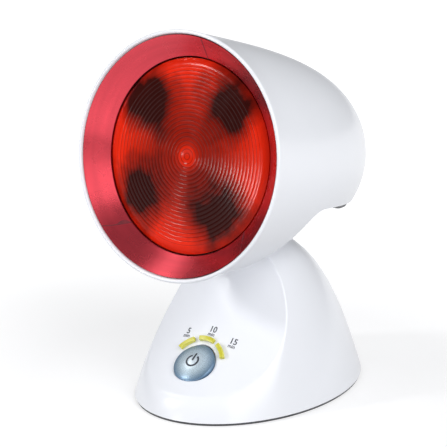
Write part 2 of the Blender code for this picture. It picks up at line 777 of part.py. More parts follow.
def make_rubber_feet():
    top = BASE_CLEAR_OF_FLOOR + FOOT_RECESS - GAP
    outline = [
        (0, 0),
        (FOOT_RADIUS - FOOT_EDGE, 0),
        (FOOT_RADIUS, FOOT_EDGE),
        (FOOT_RADIUS, top),
        (0, top),
    ]
    feet = [turned("foot", outline, frame=shift(x, y)) for x, y in foot_places()]
    return numbered("rubber_foot", feet)


def make_plate_screws():
    seat = BASE_CLEAR_OF_FLOOR + PLATE_SCREW_RECESS - GAP
    screws = []
    for x, y in plate_screw_places():
        screws.append(screw("screw", PLATE_SCREW_LENGTH, shift(x, y, seat) @ turn("X", 180)))
    return numbered("plate_screw", screws)


# Hinge pieces that stay with the base

def make_hinge_bracket():
    floor = PLATE_TOP + GAP
    outside = BRACKET_INSIDE + BRACKET_SHEET
    top = HINGE_HEIGHT + BRACKET_EAR_RADIUS
    outline = [
        (-outside, floor),
        (outside, floor),
        (outside, top),
        (BRACKET_INSIDE, top),
        (BRACKET_INSIDE, floor + BRACKET_SHEET),
        (-BRACKET_INSIDE, floor + BRACKET_SHEET),
        (-BRACKET_INSIDE, top),
        (-outside, top),
    ]
    frame = shift(y=HINGE_BACK) @ turn("X", 90)
    bracket = prism("hinge_bracket", outline, -BRACKET_HALF_DEPTH, BRACKET_HALF_DEPTH, frame)
    foot = floor - HINGE_HEIGHT - OVERRUN
    side = [(-BRACKET_HALF_DEPTH, foot), (BRACKET_HALF_DEPTH, foot)]
    side.append((BRACKET_HALF_DEPTH, -BRACKET_SHOULDER))
    side += arc((0, 0), BRACKET_EAR_RADIUS, 0, math.pi, BRACKET_EAR_STEPS)
    side.append((-BRACKET_HALF_DEPTH, -BRACKET_SHOULDER))
    reach = outside + OVERRUN
    hinge = side_frame(HINGE_BACK, HINGE_HEIGHT)
    combine(bracket, prism("side", side, -reach, reach, hinge), "INTERSECT")
    across = across_frame(HINGE_BACK, HINGE_HEIGHT)
    cut(bracket, rod("pin_hole", PIN_RADIUS + GAP, -reach, reach, frame=across))
    for x, y in bracket_screw_places():
        high = floor + BRACKET_SHEET + OVERRUN
        cut(bracket, rod("hole", SCREW_HOLE_RADIUS, floor - OVERRUN, high, frame=shift(x, y)))
    y, z = rivet_place()
    hole = rod("rivet_hole", RIVET_RADIUS + GAP, -reach, -DRUM_HALF_WIDTH, frame=across_frame(y, z))
    return cut(bracket, hole)


def make_bracket_screws():
    seat = PLATE_TOP + GAP + BRACKET_SHEET + GAP
    screws = []
    for x, y in bracket_screw_places():
        screws.append(screw("screw", BRACKET_SCREW_LENGTH, shift(x, y, seat)))
    return numbered("bracket_screw", screws)


def make_hinge_pin():
    outside = BRACKET_INSIDE + BRACKET_SHEET + GAP
    end = outside + PIN_END_THICKNESS
    end_radius = (PIN_RADIUS + PIN_HEAD_RADIUS) / 2
    outline = [
        (0, -end),
        (end_radius, -end),
        (end_radius, -outside),
        (PIN_RADIUS, -outside),
        (PIN_RADIUS, outside),
        (PIN_HEAD_RADIUS, outside),
        (PIN_HEAD_RADIUS, outside + PIN_HEAD_THICKNESS),
        (0, outside + PIN_HEAD_THICKNESS),
    ]
    return turned("hinge_pin", outline, SMALL_STEPS, across_frame(HINGE_BACK, HINGE_HEIGHT))


def leaf_level():
    """The top of the detent leaf's flat, below the hinge's axis."""
    return -(DETENT_RADIUS + GAP + LEAF_BUMP)


def rivet_place():
    """Where the detent leaf is riveted, as (y, z)."""
    y = HINGE_BACK - LEAF_RUN + LEAF_TAB_WIDTH / 2
    z = HINGE_HEIGHT + leaf_level() - LEAF_THICKNESS - LEAF_TAB_DROP / 2
    return y, z


def make_detent_leaf():
    level = leaf_level()
    tip = -(DETENT_RADIUS + GAP)
    foot = LEAF_BUMP_HALF_WIDTH
    crest = LEAF_BUMP_HALF_WIDTH * LEAF_CREST_SHARE
    under = foot + LEAF_THICKNESS / 2
    outline = [
        (LEAF_RUN, level - LEAF_THICKNESS),
        (LEAF_RUN, level),
        (foot, level),
        (crest, tip),
        (-crest, tip),
        (-foot, level),
        (-LEAF_RUN, level),
        (-LEAF_RUN, level - LEAF_THICKNESS),
        (-under, level - LEAF_THICKNESS),
        (-crest, tip - LEAF_THICKNESS),
        (crest, tip - LEAF_THICKNESS),
        (under, level - LEAF_THICKNESS),
    ]
    outer = -(BRACKET_INSIDE - GAP)
    inner = -(DRUM_HALF_WIDTH + GAP * 2)
    hinge = side_frame(HINGE_BACK, HINGE_HEIGHT)
    leaf = prism("detent_leaf", outline, outer, inner, hinge)
    low = (outer, HINGE_BACK - LEAF_RUN, HINGE_HEIGHT + level - LEAF_THICKNESS - LEAF_TAB_DROP)
    side = HINGE_BACK - LEAF_RUN + LEAF_TAB_WIDTH
    high = (outer + LEAF_THICKNESS, side, HINGE_HEIGHT + level - LEAF_THICKNESS / 2)
    fused(leaf, block("tab", low, high))
    y, z = rivet_place()
    hole = rod("rivet_hole", RIVET_RADIUS + GAP, outer - OVERRUN, inner, frame=across_frame(y, z))
    return cut(leaf, hole)


def make_leaf_rivet():
    outside = -(BRACKET_INSIDE + BRACKET_SHEET + GAP)
    inside = -(BRACKET_INSIDE - GAP) + LEAF_THICKNESS + GAP
    outline = [
        (0, outside - RIVET_HEAD_THICKNESS),
        (RIVET_HEAD_RADIUS, outside - RIVET_HEAD_THICKNESS),
        (RIVET_HEAD_RADIUS, outside),
        (RIVET_RADIUS, outside),
        (RIVET_RADIUS, inside),
        (RIVET_HEAD_RADIUS, inside),
        (RIVET_HEAD_RADIUS, inside + RIVET_HEAD_THICKNESS),
        (0, inside + RIVET_HEAD_THICKNESS),
    ]
    y, z = rivet_place()
    return turned("leaf_rivet", outline, SMALL_STEPS, across_frame(y, z))


# Timer windows, board and switch

def make_timer_window(minutes, middle):
    low = -(BASE_WALL + WINDOW_DEPTH) - OVERRUN
    name = "timer_window_" + minutes
    window = prism(name, window_outline(middle), low, OVERRUN, button_frame())
    cut(window, scoop("front", -WINDOW_STAND))
    return combine(window, scoop("back", BASE_WALL + WINDOW_DEPTH), "INTERSECT")


def make_timer_board():
    outline = rounded(BOARD_HALF_WIDTH, BOARD_HALF_HEIGHT, BOARD_CORNER)
    low = -BOARD_SINK - BOARD_THICKNESS
    frame = button_frame()
    board = prism("timer_board", outline, low, -BOARD_SINK, frame @ shift(y=BOARD_SHIFT))
    for x, y in board_screw_places():
        hole = rod(
            "hole",
            SCREW_HOLE_RADIUS,
            low - OVERRUN,
            -BOARD_SINK + OVERRUN,
            frame=frame @ shift(x, y),
        )
        cut(board, hole)
    return board


def make_board_screws():
    seat = -BOARD_SINK - BOARD_THICKNESS - GAP
    screws = []
    for x, y in board_screw_places():
        frame = button_frame() @ shift(x, y, seat) @ turn("X", 180)
        screws.append(screw("screw", BOARD_SCREW_LENGTH, frame))
    return numbered("board_screw", screws)


def make_push_switch():
    frame = button_frame() @ shift(z=-BOARD_SINK + GAP)
    size = (SWITCH_SIZE, SWITCH_SIZE, SWITCH_HEIGHT)
    body = rounded_block("push_switch", size, PART_CORNER, frame)
    low = -OVERRUN
    high = SWITCH_HEIGHT + OVERRUN
    return cut(body, rod("hole", PLUNGER_RADIUS + GAP, low, high, frame=frame))


def make_timer_leds():
    low = -BOARD_SINK + GAP
    shoulder = low + LED_HEIGHT - LED_RADIUS
    outline = [(0, low), (LED_RADIUS, low)]
    outline += arc((0, shoulder), LED_RADIUS, 0, math.pi / 2, CORNER_STEPS)[:-1]
    outline.append((0, low + LED_HEIGHT))
    lights = []
    for middle in WINDOW_ANGLES.values():
        frame = button_frame() @ shift(*polar(WINDOW_RADIUS, middle))
        lights.append(turned("led", outline, SCREW_STEPS, frame))
    return numbered("timer_led", lights)


# Supply board and what it carries

def supply_level():
    """The supply board's upper face."""
    return PLATE_TOP + SUPPLY_STANDOFF + GAP + BOARD_THICKNESS


def make_supply_board():
    outline = rounded(SUPPLY_HALF_WIDTH, SUPPLY_HALF_DEPTH, BOARD_CORNER)
    low = supply_level() - BOARD_THICKNESS
    board = prism("supply_board", outline, low, supply_level(), shift(y=SUPPLY_BACK))
    for x, y in supply_screw_places():
        high = supply_level() + OVERRUN
        cut(board, rod("hole", SCREW_HOLE_RADIUS, low - OVERRUN, high, frame=shift(x, y)))
    return board


def make_supply_screws():
    seat = supply_level() + GAP
    screws = []
    for x, y in supply_screw_places():
        screws.append(screw("screw", SUPPLY_SCREW_LENGTH, shift(x, y, seat)))
    return numbered("supply_screw", screws)


def make_relay():
    frame = shift(RELAY_ASIDE, SUPPLY_BACK, supply_level() + GAP)
    return rounded_block("relay", RELAY_SIZE, PART_CORNER, frame)


def make_capacitor():
    frame = shift(CAPACITOR_ASIDE, SUPPLY_BACK, supply_level() + GAP)
    return rounded_block("film_capacitor", CAPACITOR_SIZE, PART_CORNER, frame)


def make_fuse():
    half = FUSE_LENGTH / 2
    waist = half - FUSE_CAP_LENGTH
    slim = FUSE_RADIUS * FUSE_WAIST_SHARE
    outline = [
        (0, -half),
        (FUSE_RADIUS, -half),
        (FUSE_RADIUS, -waist),
        (slim, -waist),
        (slim, waist),
        (FUSE_RADIUS, waist),
        (FUSE_RADIUS, half),
        (0, half),
    ]
    rise = supply_level() + GAP + FUSE_RADIUS
    frame = shift(FUSE_ASIDE, SUPPLY_BACK, rise) @ turn("X", -90)
    return turned("fuse", outline, SMALL_STEPS, frame)


def make_terminal_block():
    frame = shift(TERMINAL_ASIDE, SUPPLY_BACK, supply_level() + GAP)
    body = rounded_block("terminal_block", TERMINAL_SIZE, PART_CORNER, frame)
    for side in (-1, 1):
        y = side * TERMINAL_PORT_PITCH / 2
        port = frame @ shift(0, y, TERMINAL_SIZE[2] / 2) @ turn("Y", 90)
        reach = TERMINAL_SIZE[0] / 2
        cut(body, rod("port", TERMINAL_PORT_RADIUS, 0, reach + OVERRUN, frame=port))
    return body


# Button, drawn about its own centre on the scoop

def button_flange_top():
    """The flange clears the wall's inner face, which falls away at its sides."""
    reach = BUTTON_RADIUS + BUTTON_FLANGE_REACH
    sag = reach ** 2 / (2 * (SCOOP_CROWN_RADIUS - BASE_WALL))
    return -(BASE_WALL + sag + GAP)


def button_edge():
    """The cap's edge stands clear of the scoop, which rises above and below it."""
    return BUTTON_RADIUS ** 2 / (2 * SCOOP_RADIUS) + BUTTON_EDGE_STAND


def make_button_cap():
    edge = button_edge()
    rise = BUTTON_CROWN
    crown_radius = (BUTTON_RADIUS ** 2 + rise ** 2) / (2 * rise)
    spread = math.asin(BUTTON_RADIUS / crown_radius)
    centre = (0, edge + rise - crown_radius)
    crown = arc(centre, crown_radius, math.pi / 2, math.pi / 2 - spread, BUTTON_CROWN_STEPS)
    flange_top = button_flange_top()
    reach = BUTTON_RADIUS + BUTTON_FLANGE_REACH
    foot = flange_top - BUTTON_FLANGE_THICKNESS
    inner = BUTTON_RADIUS - BUTTON_WALL
    outline = [(0, edge + rise)] + crown[1:]
    outline += [
        (BUTTON_RADIUS, flange_top),
        (reach, flange_top),
        (reach, foot),
        (inner, foot),
        (inner, edge - BUTTON_WALL),
        (0, edge - BUTTON_WALL),
    ]
    return turned("button_cap", outline, MEDIUM_STEPS)


def make_switch_plunger():
    top = button_edge() - BUTTON_WALL - GAP
    foot = -BOARD_SINK + GAP + BUTTON_TRAVEL + GAP
    return rod("switch_plunger", PLUNGER_RADIUS, foot, top)


# Hinge pieces that tilt with the head

def make_hinge_arm():
    edge = DRUM_EDGE
    outline = [
        (0, -DRUM_HALF_WIDTH),
        (DRUM_RADIUS - edge, -DRUM_HALF_WIDTH),
        (DRUM_RADIUS, edge - DRUM_HALF_WIDTH),
        (DRUM_RADIUS, DRUM_HALF_WIDTH - edge),
        (DRUM_RADIUS - edge, DRUM_HALF_WIDTH),
        (0, DRUM_HALF_WIDTH),
    ]
    arm = turned("hinge_arm", outline, MEDIUM_STEPS, across_frame())
    top = AXIS_RISE - CUT_DROP - GAP
    neck = rounded(NECK_HALF_WIDTH, NECK_HALF_DEPTH, NECK_CORNER)
    fused(arm, prism("neck", neck, 0, top - FLANGE_THICKNESS / 2))
    flange = rounded(FLANGE_HALF_WIDTH, FLANGE_HALF_DEPTH, FLANGE_CORNER)
    fused(arm, prism("flange", flange, top - FLANGE_THICKNESS, top))
    reach = DRUM_HALF_WIDTH + OVERRUN
    cut(arm, rod("pin_bore", PIN_RADIUS + GAP, -reach, reach, frame=across_frame()))
    for x, y in flange_screw_places():
        low = top - FLANGE_THICKNESS - OVERRUN
        cut(arm, rod("hole", SCREW_HOLE_RADIUS, low, top + OVERRUN, frame=shift(x, y)))
    return arm


def make_flange_screws():
    seat = AXIS_RISE - CUT_DROP - GAP - FLANGE_THICKNESS - GAP
    screws = []
    for x, y in flange_screw_places():
        screws.append(screw("screw", FLANGE_SCREW_LENGTH, shift(x, y, seat) @ turn("X", 180)))
    return numbered("flange_screw", screws)


def make_detent_disc():
    straight_down = -math.pi / 2 + HEAD_TILT
    half = DETENT_PITCH * DETENT_NOTCH_SHARE / 2
    first = straight_down - DETENT_PITCH
    outline = []
    for notch in range(DETENT_NOTCHES):
        middle = first + notch * DETENT_PITCH
        ridge = DETENT_RADIUS - DETENT_NOTCH_DEPTH
        outline.append(polar(DETENT_RADIUS, middle - half))
        outline.append(polar(ridge, middle))
        outline.append(polar(DETENT_RADIUS, middle + half))
    last = first + (DETENT_NOTCHES - 1) * DETENT_PITCH + half
    back = arc((0, 0), DETENT_RADIUS, last, first - half + 2 * math.pi, DETENT_STEPS)
    outline += back[1:-1]
    outer = -(DRUM_HALF_WIDTH + GAP + DETENT_THICKNESS)
    disc = prism("detent_disc", outline, outer, -(DRUM_HALF_WIDTH + GAP), side_frame())
    end = -(BRACKET_INSIDE - GAP)
    hub = rod("hub", BUSH_RADIUS, end, outer + DETENT_THICKNESS / 2, frame=across_frame())
    fused(disc, hub)
    return cut(disc, rod("pin_hole", PIN_RADIUS + GAP, -BRACKET_INSIDE, 0, frame=across_frame()))


def make_hinge_bush():
    low = DRUM_HALF_WIDTH + GAP
    high = BRACKET_INSIDE - GAP
    return tube("hinge_bush", PIN_RADIUS + GAP, BUSH_RADIUS, low, high, frame=across_frame())


# Shell of the head and its liner

def make_head_shell():
    shell = head_solid("head_shell", 0)
    cut(shell, cut(under_cut("cut", 0), lamp_clearance("lamp", LAMP_ROOM + HEAD_WALL)))
    hollow = head_solid("hollow", HEAD_WALL)
    cut(hollow, cut(under_cut("cut", HEAD_WALL), lamp_clearance("lamp", LAMP_ROOM)))
    wall_top = AXIS_RISE - CUT_DROP + HEAD_WALL
    for x, y in flange_screw_places():
        high = wall_top + FLANGE_POST_HEIGHT
        cut(hollow, rod("post", POST_RADIUS, wall_top - OVERRUN, high, frame=shift(x, y)))
    for place in carrier_screw_places():
        low = carrier_depth() + CARRIER_SHEET + GAP
        high = HEAD_LENGTH + OVERRUN
        frame = lamp_frame() @ shift(*place)
        cut(hollow, rod("post", CARRIER_POST_RADIUS, low, high, frame=frame))
    cut(shell, hollow)
    for x, y in flange_screw_places():
        high = wall_top - HEAD_WALL - FLANGE_THICKNESS - GAP + FLANGE_SCREW_LENGTH
        low = wall_top - HEAD_WALL - OVERRUN
        cut(shell, rod("pilot", SCREW_HOLE_RADIUS, low, high, frame=shift(x, y)))
    for place in carrier_screw_places():
        low = carrier_depth()
        high = low + CARRIER_SCREW_LENGTH
        frame = lamp_frame() @ shift(*place)
        cut(shell, rod("pilot", SCREW_HOLE_RADIUS, low, high, frame=frame))
    return cut(shell, *vent_slots())


def make_reflective_liner():
    mouth = head_outline_radius(LINER_FRONT + LINER_SHEET * 2, HEAD_WALL) - GAP
    collar = LINER_THROAT_RADIUS + LINER_SHEET
    outline = [
        (mouth, LINER_FRONT),
        (mouth, LINER_FRONT + LINER_SHEET),
        (collar, LINER_THROAT_DEPTH + LINER_SHEET),
        (collar, LINER_COLLAR_END),
        (LINER_THROAT_RADIUS, LINER_COLLAR_END),
        (LINER_THROAT_RADIUS, LINER_THROAT_DEPTH),
    ]
    return turned("reflective_liner", outline, LARGE_STEPS, lamp_frame())


def make_liner_clips():
    inner = LINER_THROAT_RADIUS + LINER_SHEET + GAP
    end = LINER_CLIP_DEPTH + LINER_CLIP_LENGTH
    half = LINER_CLIP_WIDTH / 2
    room = head_outline_radius(end, HEAD_WALL) * math.cos(math.pi / LARGE_STEPS) - GAP
    outer = math.sqrt(room ** 2 - half ** 2)
    clips = []
    for angle in LINER_CLIP_ANGLES:
        frame = lamp_frame() @ Matrix.Rotation(angle, 4, "Z")
        clips.append(block("clip", (inner, -half, LINER_CLIP_DEPTH), (outer, half, end), frame))
    return numbered("liner_clip", clips)


def vent_slots():
    """Cutters for the vent slots, through the cover and the wall behind it."""
    tools = []
    for slot in range(VENT_SLOTS):
        depth = VENT_SLOT_FIRST + slot * VENT_SLOT_PITCH
        half = VENT_SLOT_WIDTH / 2
        bottom = -CUT_DROP - VENT_BELLY - OVERRUN
        top = -CUT_DROP + HEAD_WALL + OVERRUN
        outline = [
            (depth - half, bottom),
            (depth + half, bottom),
            (depth + half, top),
            (depth - half, top),
        ]
        frame = side_frame(-RIM_REACH, AXIS_RISE)
        reach = VENT_SLOT_HALF_LENGTH
        tools.append(prism("vent_slot", outline, -reach, reach, frame))
    return tools


def make_vent_cover():
    top = -CUT_DROP - GAP
    outline = [(VENT_START, top)]
    for step in range(VENT_STEPS + 1):
        share = step / VENT_STEPS
        depth = VENT_START + (VENT_END - VENT_START) * share
        belly = (VENT_BELLY - VENT_EDGE) * math.sin(math.pi * share)
        outline.append((depth, top - VENT_EDGE - belly))
    outline.append((VENT_END, top))
    reach = HEAD_RADIUS
    frame = side_frame(-RIM_REACH, AXIS_RISE)
    cover = prism("vent_cover", outline, -reach, reach, frame)
    combine(cover, head_solid("inside", VENT_INSET), "INTERSECT")
    room = GAP * 2
    flange = rounded(FLANGE_HALF_WIDTH + room, FLANGE_HALF_DEPTH + room, FLANGE_CORNER)
    level = AXIS_RISE - CUT_DROP
    cut(cover, prism("flange_room", flange, level - VENT_BELLY - OVERRUN, level + OVERRUN))
    return cut(cover, *vent_slots())


# Lamp

def make_lamp_lens():
    outer = LENS_RADIUS - LENS_BAND
    pitch = (outer - LENS_CENTRE_RADIUS) / LENS_RIBS
    outline = [(0, LENS_FACE_DEPTH), (LENS_CENTRE_RADIUS, LENS_FACE_DEPTH)]
    for rib in range(LENS_RIBS):
        start = LENS_CENTRE_RADIUS + rib * pitch
        outline.append((start + pitch / 2, LENS_FACE_DEPTH - LENS_RIB_HEIGHT))
        outline.append((start + pitch, LENS_FACE_DEPTH))
    skirt = LENS_EDGE_DEPTH + LENS_SKIRT
    back = LENS_FACE_DEPTH + LENS_THICKNESS
    outline += [
        (LENS_RADIUS, LENS_EDGE_DEPTH),
        (LENS_RADIUS, skirt),
        (LENS_RADIUS - REFLECTOR_GLASS, skirt),
        (outer, back),
        (0, back),
    ]
    return turned("lamp_lens", outline, LARGE_STEPS, lamp_frame())


def make_lamp_reflector():
    bowl_end = REFLECTOR_VERTEX - (NECK_GLASS_RADIUS - REFLECTOR_GLASS) ** 2 / (4 * REFLECTOR_FOCUS)
    outer = []
    for ring in range(REFLECTOR_RINGS):
        share = ring / REFLECTOR_RINGS
        depth = REFLECTOR_FRONT + (bowl_end - REFLECTOR_FRONT) * (1 - (1 - share) ** 2)
        outer.append((min(reflector_radius(depth), LENS_RADIUS), depth))
    outer.append((NECK_GLASS_RADIUS, bowl_end))
    shoulder = NECK_GLASS_END - REFLECTOR_GLASS * 2
    outer.append((NECK_GLASS_RADIUS, shoulder))
    outer.append((CAP_RADIUS, NECK_GLASS_END))
    inner = [(radius - REFLECTOR_GLASS, depth) for radius, depth in outer[:-1]]
    inner.append((STEM_RADIUS + GAP, shoulder))
    inner.append((STEM_RADIUS + GAP, NECK_GLASS_END))
    outline = outer + inner[::-1]
    return turned("lamp_reflector", outline, MEDIUM_STEPS, lamp_frame())


def make_lamp_stem():
    return rod("lamp_stem", STEM_RADIUS, STEM_FRONT, NECK_GLASS_END, frame=lamp_frame())


def filament_depth():
    """The filament lies at the reflector's focus."""
    return REFLECTOR_VERTEX - REFLECTOR_FOCUS


def make_filament():
    """The coil as a plain rod, with the two wires that hold it."""
    half = FILAMENT_HALF_LENGTH
    depth = filament_depth()
    frame = lamp_frame() @ shift(z=depth) @ turn("Y", 90)
    filament = rod("filament", FILAMENT_RADIUS, -half, half, WIRE_STEPS, frame)
    for side in (-1, 1):
        frame = lamp_frame() @ shift(x=side * WIRE_ASIDE)
        wire = rod("wire", WIRE_RADIUS, depth, STEM_FRONT - GAP, WIRE_STEPS, frame)
        fused(filament, wire)
    return filament


def make_lamp_cap():
    front = NECK_GLASS_END + GAP
    pitch = (CAP_END - front) / (CAP_THREADS + 1)
    outer = [(CAP_RADIUS, front), (CAP_RADIUS, front + pitch / 2)]
    for thread in range(CAP_THREADS):
        start = front + pitch * (thread + 0.5)
        outer.append((CAP_RADIUS - CAP_THREAD_DEPTH, start + pitch / 2))
        outer.append((CAP_RADIUS, start + pitch))
    outer.append((CAP_RADIUS - CAP_THREAD_DEPTH, CAP_END))
    inner = [(radius - CAP_WALL, depth) for radius, depth in outer]
    inner[-1] = (outer[-1][0] - CAP_WALL, CAP_END - CAP_WALL)
    inner.append((CONTACT_RADIUS, CAP_END - CAP_WALL))
    inner.append((CONTACT_RADIUS, CAP_END))
    outline = outer + inner[::-1]
    return turned("lamp_cap", outline, SMALL_STEPS, lamp_frame())


def insulator_end():
    return CAP_END + GAP + INSULATOR_LENGTH


def make_cap_insulator():
    low = CAP_END + GAP
    outline = [
        (0, low),
        (CAP_RADIUS - CAP_THREAD_DEPTH * 2, low),
        (CONTACT_RADIUS + CAP_WALL, insulator_end()),
        (0, insulator_end()),
    ]
    return turned("cap_insulator", outline, SMALL_STEPS, lamp_frame())


def contact_end():
    return insulator_end() + GAP + CONTACT_LENGTH


def make_lamp_contact():
    low = insulator_end() + GAP
    outline = [
        (0, low),
        (CONTACT_RADIUS, low),
        (CONTACT_RADIUS, low + CONTACT_LENGTH / 2),
        (CONTACT_RADIUS / 2, contact_end()),
        (0, contact_end()),
    ]
    return turned("lamp_contact", outline, SMALL_STEPS, lamp_frame())


# Lamp holder and its carrier

def spring_contact_end():
    return contact_end() + GAP + SPRING_CONTACT_THICKNESS


def make_spring_contact():
    half_length = SPRING_CONTACT_HALF_LENGTH
    half_width = SPRING_CONTACT_HALF_WIDTH
    outline = rounded(half_length, half_width, half_width / 2)
    low = contact_end() + GAP
    return prism("spring_contact", outline, low, spring_contact_end(), lamp_frame())


def holder_floor_face():
    """The inner face of the holder's floor."""
    return spring_contact_end() + GAP


def holder_end():
    return holder_floor_face() + HOLDER_FLOOR


def make_lamp_holder():
    bore = CAP_RADIUS + GAP + SLEEVE_WALL + GAP
    outline = [
        (bore, HOLDER_FRONT),
        (HOLDER_RADIUS - HOLDER_EDGE, HOLDER_FRONT),
        (HOLDER_RADIUS, HOLDER_FRONT + HOLDER_EDGE),
        (HOLDER_RADIUS, holder_end()),
        (BOLT_RADIUS + GAP, holder_end()),
        (BOLT_RADIUS + GAP, holder_floor_face()),
        (bore, holder_floor_face()),
    ]
    return turned("lamp_holder", outline, MEDIUM_STEPS, lamp_frame())


def make_holder_sleeve():
    inner = CAP_RADIUS + GAP
    low = HOLDER_FRONT + SLEEVE_WALL
    frame = lamp_frame()
    return tube("holder_sleeve", inner, inner + SLEEVE_WALL, low, CAP_END, MEDIUM_STEPS, frame)


def carrier_depth():
    """The front face of the carrier behind the holder."""
    return holder_end() + GAP


def carrier_screw_places():
    """Where the carrier's screws stand, in the lamp's frame."""
    return [polar(CARRIER_POST_CIRCLE, angle) for angle in CARRIER_SCREW_ANGLES]


def make_holder_carrier():
    low = carrier_depth()
    high = low + CARRIER_SHEET
    radius = head_outline_radius(high, HEAD_WALL) - CARRIER_ROOM
    carrier = rod("holder_carrier", radius, low, high, MEDIUM_STEPS, lamp_frame())
    level = -(CUT_DROP - HEAD_WALL - GAP)
    reach = radius + OVERRUN
    corner = (-reach, -reach, low - OVERRUN)
    cut(carrier, block("under", corner, (reach, level, high + OVERRUN), lamp_frame()))
    middle = rod("hole", BOLT_RADIUS + GAP, low - OVERRUN, high + OVERRUN, frame=lamp_frame())
    cut(carrier, middle)
    for place in carrier_screw_places():
        frame = lamp_frame() @ shift(*place)
        cut(carrier, rod("hole", SCREW_HOLE_RADIUS, low - OVERRUN, high + OVERRUN, frame=frame))
    return carrier


def make_carrier_screws():
    screws = []
    for x, y in carrier_screw_places():
        frame = lamp_frame() @ shift(x, y, carrier_depth() - GAP) @ turn("X", 180)
        screws.append(screw("screw", CARRIER_SCREW_LENGTH, frame))
    return numbered("carrier_screw", screws)


def make_holder_bolt():
    """A hollow bolt whose six-sided head sits behind the carrier."""
    corner = BOLT_ACROSS_FLATS / 2 / math.cos(math.pi / BOLT_SIDES)
    outline = arc((0, 0), corner, 0, 2 * math.pi, BOLT_SIDES)[:-1]
    seat = carrier_depth() + CARRIER_SHEET + GAP
    end = seat + BOLT_HEAD_THICKNESS
    frame = lamp_frame()
    bolt = prism("holder_bolt", outline, seat, end, frame)
    front = holder_floor_face()
    middle = seat + BOLT_HEAD_THICKNESS / 2
    fused(bolt, rod("shank", BOLT_RADIUS, front, middle, frame=frame))
    return cut(bolt, rod("bore", BOLT_BORE, front - OVERRUN, end + OVERRUN, frame=frame))


# Finish and assembly

def coat(pieces, finish, parent):
    """Give the copies of one piece their material, and hang them on their body's empty."""
    material = bpy.data.materials.new(pieces[0].name)
    material.use_nodes = True
    shader = material.node_tree.nodes["Principled BSDF"]
    shader.inputs["Base Color"].default_value = (*finish["colour"], 1)
    shader.inputs["Roughness"].default_value = finish["roughness"]
    shader.inputs["Metallic"].default_value = finish["metallic"]
    for piece in pieces:
        piece.data.materials.clear()
        piece.data.materials.append(material)
        piece.data.shade_smooth()
        piece.data.set_sharp_from_angle(angle=SHARP_ANGLE)
        piece.parent = parent


def empty(name, matrix):
    """An empty that carries one body."""
    holder = bpy.data.objects.new(name, None)
    bpy.context.collection.objects.link(holder)
    holder.matrix_world = matrix
    return holder


def build_base(body):
    coat([make_base_shell()], WHITE_PLASTIC, body)
    coat([make_base_plate()], DARK_PLASTIC, body)
    coat(make_rubber_feet(), RUBBER, body)
    coat(make_plate_screws(), STEEL, body)
    coat([make_cord_gland()], DARK_PLASTIC, body)
    coat([make_hinge_bracket()], STEEL, body)
    coat(make_bracket_screws(), STEEL, body)
    coat([make_hinge_pin()], STEEL, body)
    coat([make_detent_leaf()], STEEL, body)
    coat([make_leaf_rivet()], STEEL, body)
    for minutes, middle in WINDOW_ANGLES.items():
        coat([make_timer_window(minutes, middle)], AMBER_PLASTIC, body)
    coat([make_timer_board()], CIRCUIT_BOARD, body)
    coat(make_board_screws(), STEEL, body)
    coat([make_push_switch()], DARK_PLASTIC, body)
    coat(make_timer_leds(), AMBER_PLASTIC, body)
    coat([make_supply_board()], CIRCUIT_BOARD, body)
    coat(make_supply_screws(), STEEL, body)
    coat([make_relay()], DARK_PLASTIC, body)
    coat([make_capacitor()], AMBER_PLASTIC, body)
    coat([make_fuse()], STEEL, body)
    coat([make_terminal_block()], GREEN_PLASTIC, body)


def build_button(body):
    coat([make_button_cap()], SILVER_BLUE, body)
    coat([make_switch_plunger()], DARK_PLASTIC, body)


def build_head(body):
    coat([make_head_shell()], WHITE_PLASTIC, body)
    coat([make_vent_cover()], DARK_PLASTIC, body)
    coat([make_reflective_liner()], CRIMSON_FOIL, body)
    coat(make_liner_clips(), STEEL, body)
    coat([make_lamp_lens()], RED_GLASS, body)
    coat([make_lamp_reflector()], RED_GLASS, body)
    coat([make_lamp_stem()], CLEAR_GLASS, body)
    coat([make_filament()], TUNGSTEN, body)
    coat([make_lamp_cap()], BRASS, body)
    coat([make_cap_insulator()], GLOSSY_BLACK, body)
    coat([make_lamp_contact()], BRASS, body)
    coat([make_spring_contact()], BRASS, body)
    coat([make_lamp_holder()], CERAMIC, body)
    coat([make_holder_sleeve()], BRASS, body)
    coat([make_holder_carrier()], STEEL, body)
    coat(make_carrier_screws(), STEEL, body)
    coat([make_holder_bolt()], STEEL, body)
    coat([make_hinge_arm()], WHITE_PLASTIC, body)
    coat(make_flange_screws(), STEEL, body)
    coat([make_detent_disc()], STEEL, body)
    coat([make_hinge_bush()], BRASS, body)


def main():
    clear_scene()
    build_base(empty("base", Matrix()))
    build_button(empty("button", button_frame()))
    tilt = Matrix.Rotation(-HEAD_TILT, 4, "X")
    build_head(empty("head", shift(y=HINGE_BACK, z=HINGE_HEIGHT) @ tilt))


main()
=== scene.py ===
"""Infrared heat lamp: the finished look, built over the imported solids.

The lamp faces -Y and stands on z = 0. All lengths are in metres.
"""

import math

import bpy
from mathutils import Matrix, Vector


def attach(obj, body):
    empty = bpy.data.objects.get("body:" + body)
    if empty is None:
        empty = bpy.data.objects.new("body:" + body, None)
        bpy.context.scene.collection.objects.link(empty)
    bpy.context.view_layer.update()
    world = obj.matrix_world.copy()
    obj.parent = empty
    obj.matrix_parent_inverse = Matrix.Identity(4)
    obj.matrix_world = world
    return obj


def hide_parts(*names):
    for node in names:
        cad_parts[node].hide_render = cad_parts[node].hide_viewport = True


bl_info = {
    "name": "Infrared lamp look",
    "version": (1, 0, 0),
    "blender": (4, 5, 0),
    "location": "3D View > Sidebar > Lamp",
    "description": "Builds the finished look of an infrared heat lamp over its solids",
    "category": "Object",
}

